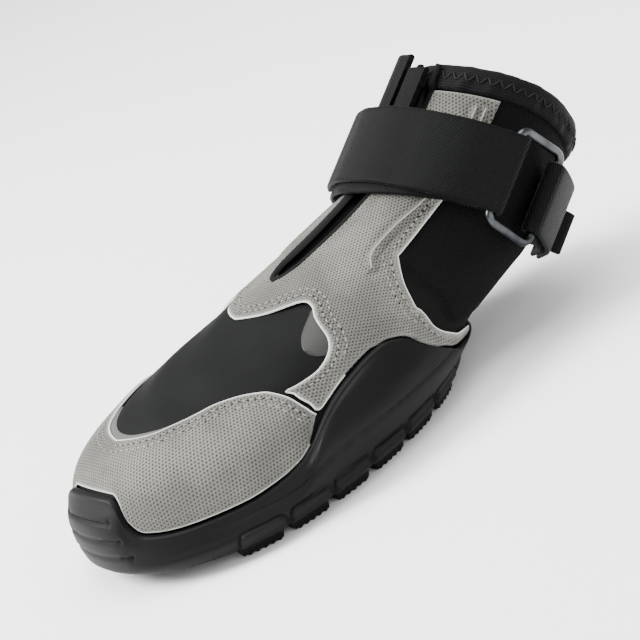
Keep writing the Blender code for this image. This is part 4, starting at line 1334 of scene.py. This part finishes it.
barFront, barAngle, barRear = ringBars()
barRun = unit(barRear - barFront)
barOut = np.array([-barRun[1], barRun[0]])
barOut = barOut * np.sign(barOut @ (barFront - hullCenter))


def foldRound(center, toward, rise):
    radius = strap["wire"] / 2 + boot["fit"] + strap["thick"] / 2
    return [(center + radius * (math.cos(a) * toward + math.sin(a) * barOut), rise)
            for a in np.radians([-90, -50, -15, 15, 50, 90])]


def buildStrap():
    path = [station(d, under, strap["under drop"] * min(1.0, (60 - min(d, 60)) / 40))
            for d in [*range(-168, 60, 8), 60, 67]]
    path += foldRound(barFront, barRun, float(riseAt(strap["ring degrees"])))
    path += [station(d, over + strap["bulge"] * max(0.0, (d - 30) / 32))
             for d in [62, 50, 40, *range(32, -41, -8)]]
    band("strap_webbing", path, strap["width"], "strap")


def buildEnds():
    # two webbing ends that stand up between the strap and the collar
    for name, turns, out, rise, tall in strap["ends"]:
        band("strap_end_" + name, [station(d, out, -rise) for d in turns], tall,
             thick=strap["end thick"])


def buildRing():
    half = strap["width"] / 2 + strap["wire"] / 2 + strap["ring room"]
    span = float(np.linalg.norm(barRear - barFront))
    bend = strap["ring bend"]
    rise = float(riseAt(strap["ring degrees"]))
    path = []
    for cx, cy, start in ((span - bend, half - bend, 0), (bend, half - bend, 90),
                          (bend, bend - half, 180), (span - bend, bend - half, 270)):
        for a in np.radians(start + 11.25 * np.arange(9)):
            path.append(inSpace(barFront + barRun * (cx + bend * math.cos(a)),
                                rise + cy + bend * math.sin(a)))
    outward = barOut[0] * np.array([1.0, 0, 0]) + barOut[1] * shaftBack
    obj = tube("wire_ring", np.array(path), 18, strap["wire"] / 2, strap["wire"] / 2, outward, True)
    finishPiece(obj, steel, "strap_ring")


def buildKeeper():
    path = [station(d, under) for d in (*strap["keeper under"], barAngle + 9)]
    path += foldRound(barRear, -barRun, float(riseAt(barAngle)))
    path += [station(d, over + extra)
             for d, extra in ((barAngle + 12, 1.1 * mm), *strap["keeper over"])]
    band("keeper_webbing", path, strap["keeper"], "ring_keeper")


def buildTab():
    root, rise = station(strap["tab degrees"], 0.0)
    direction = compass(strap["tab lean"])
    side = np.array([direction[1], -direction[0]])
    path = []
    half = strap["tab fold"]
    for share, away in (*half, *((share, -away) for share, away in half[-2::-1])):
        bow = strap["tab bow"] * math.sin(math.pi * share) + away * mm
        path.append((root + direction * strap["tab length"] * share + side * bow, rise))
    band("tab_webbing", path, strap["tab width"], "heel_tab", strap["tab thick"])


print("strap")
buildStrap()
buildEnds()
buildRing()
buildKeeper()
buildTab()

# Floor, light and camera

studio = {
    "eye": (0.4595, -0.2057, 0.2037),
    "right": (0.590, 0.711, -0.382),
    "up": (-0.058, 0.509, 0.859),
    "back": (0.805, -0.484, 0.342),
    "aim": (-85.0, -17.0),  # pixels off the middle
    "focal": 1244.0,  # pixels
    "lens": 128.0,
    "sky": 0.8,
    "lights": {  # place, aim, size, power
        "key": ((-0.45, -0.70, 0.85), (0, 0.02, 0.03), (0.6, 0.6), 46),
        "side": ((-0.62, -0.42, 0.26), (0, 0.04, 0.04), (0.3, 0.5), 1),
        "fill": ((0.95, -0.10, 0.55), (0, 0.02, 0.03), (0.8, 0.8), 7),
        "top": ((0.0, 0.25, 1.10), (0, 0.03, 0.03), (1.0, 1.0), 20),
    },
}


def buildFloor():
    bpy.ops.object.select_all(action="DESELECT")
    bpy.ops.mesh.primitive_grid_add(x_subdivisions=4, y_subdivisions=4, size=8)
    floor = bpy.context.object
    floor.name = "floor"
    floor.data.materials.append(Paint("paleFloor", (0.93, 0.93, 0.93), 0.6).material)


def buildLights():
    for name, (place, aim, size, power) in studio["lights"].items():
        light = bpy.data.lights.new(name, "AREA")
        light.shape = "RECTANGLE"
        light.size, light.size_y = size
        light.energy = power
        obj = linked(name, light, place)
        obj.rotation_mode = "QUATERNION"
        obj.rotation_quaternion = (Vector(aim) - Vector(place)).to_track_quat("-Z", "Y")
    world = bpy.data.worlds.new("studio")
    world.use_nodes = True
    sky = world.node_tree.nodes["Background"].inputs
    sky[0].default_value, sky[1].default_value = (1, 1, 1, 1), studio["sky"]
    bpy.context.scene.world = world


def buildCamera():
    right, up, back = (np.array(studio[key]) for key in ("right", "up", "back"))
    back = unit(back * studio["focal"] - right * studio["aim"][0] - up * studio["aim"][1])
    right = unit(right - back * (right @ back))
    camera = bpy.data.cameras.new("camera")
    camera.lens = studio["lens"]
    camera.sensor_width = 36
    camera.clip_start, camera.clip_end = 0.01, 20
    obj = linked("camera", camera, studio["eye"])
    obj.rotation_euler = Matrix((right, np.cross(back, right), back)).transposed().to_euler()
    bpy.context.scene.camera = obj


print("stage")
buildFloor()
buildLights()
buildCamera()
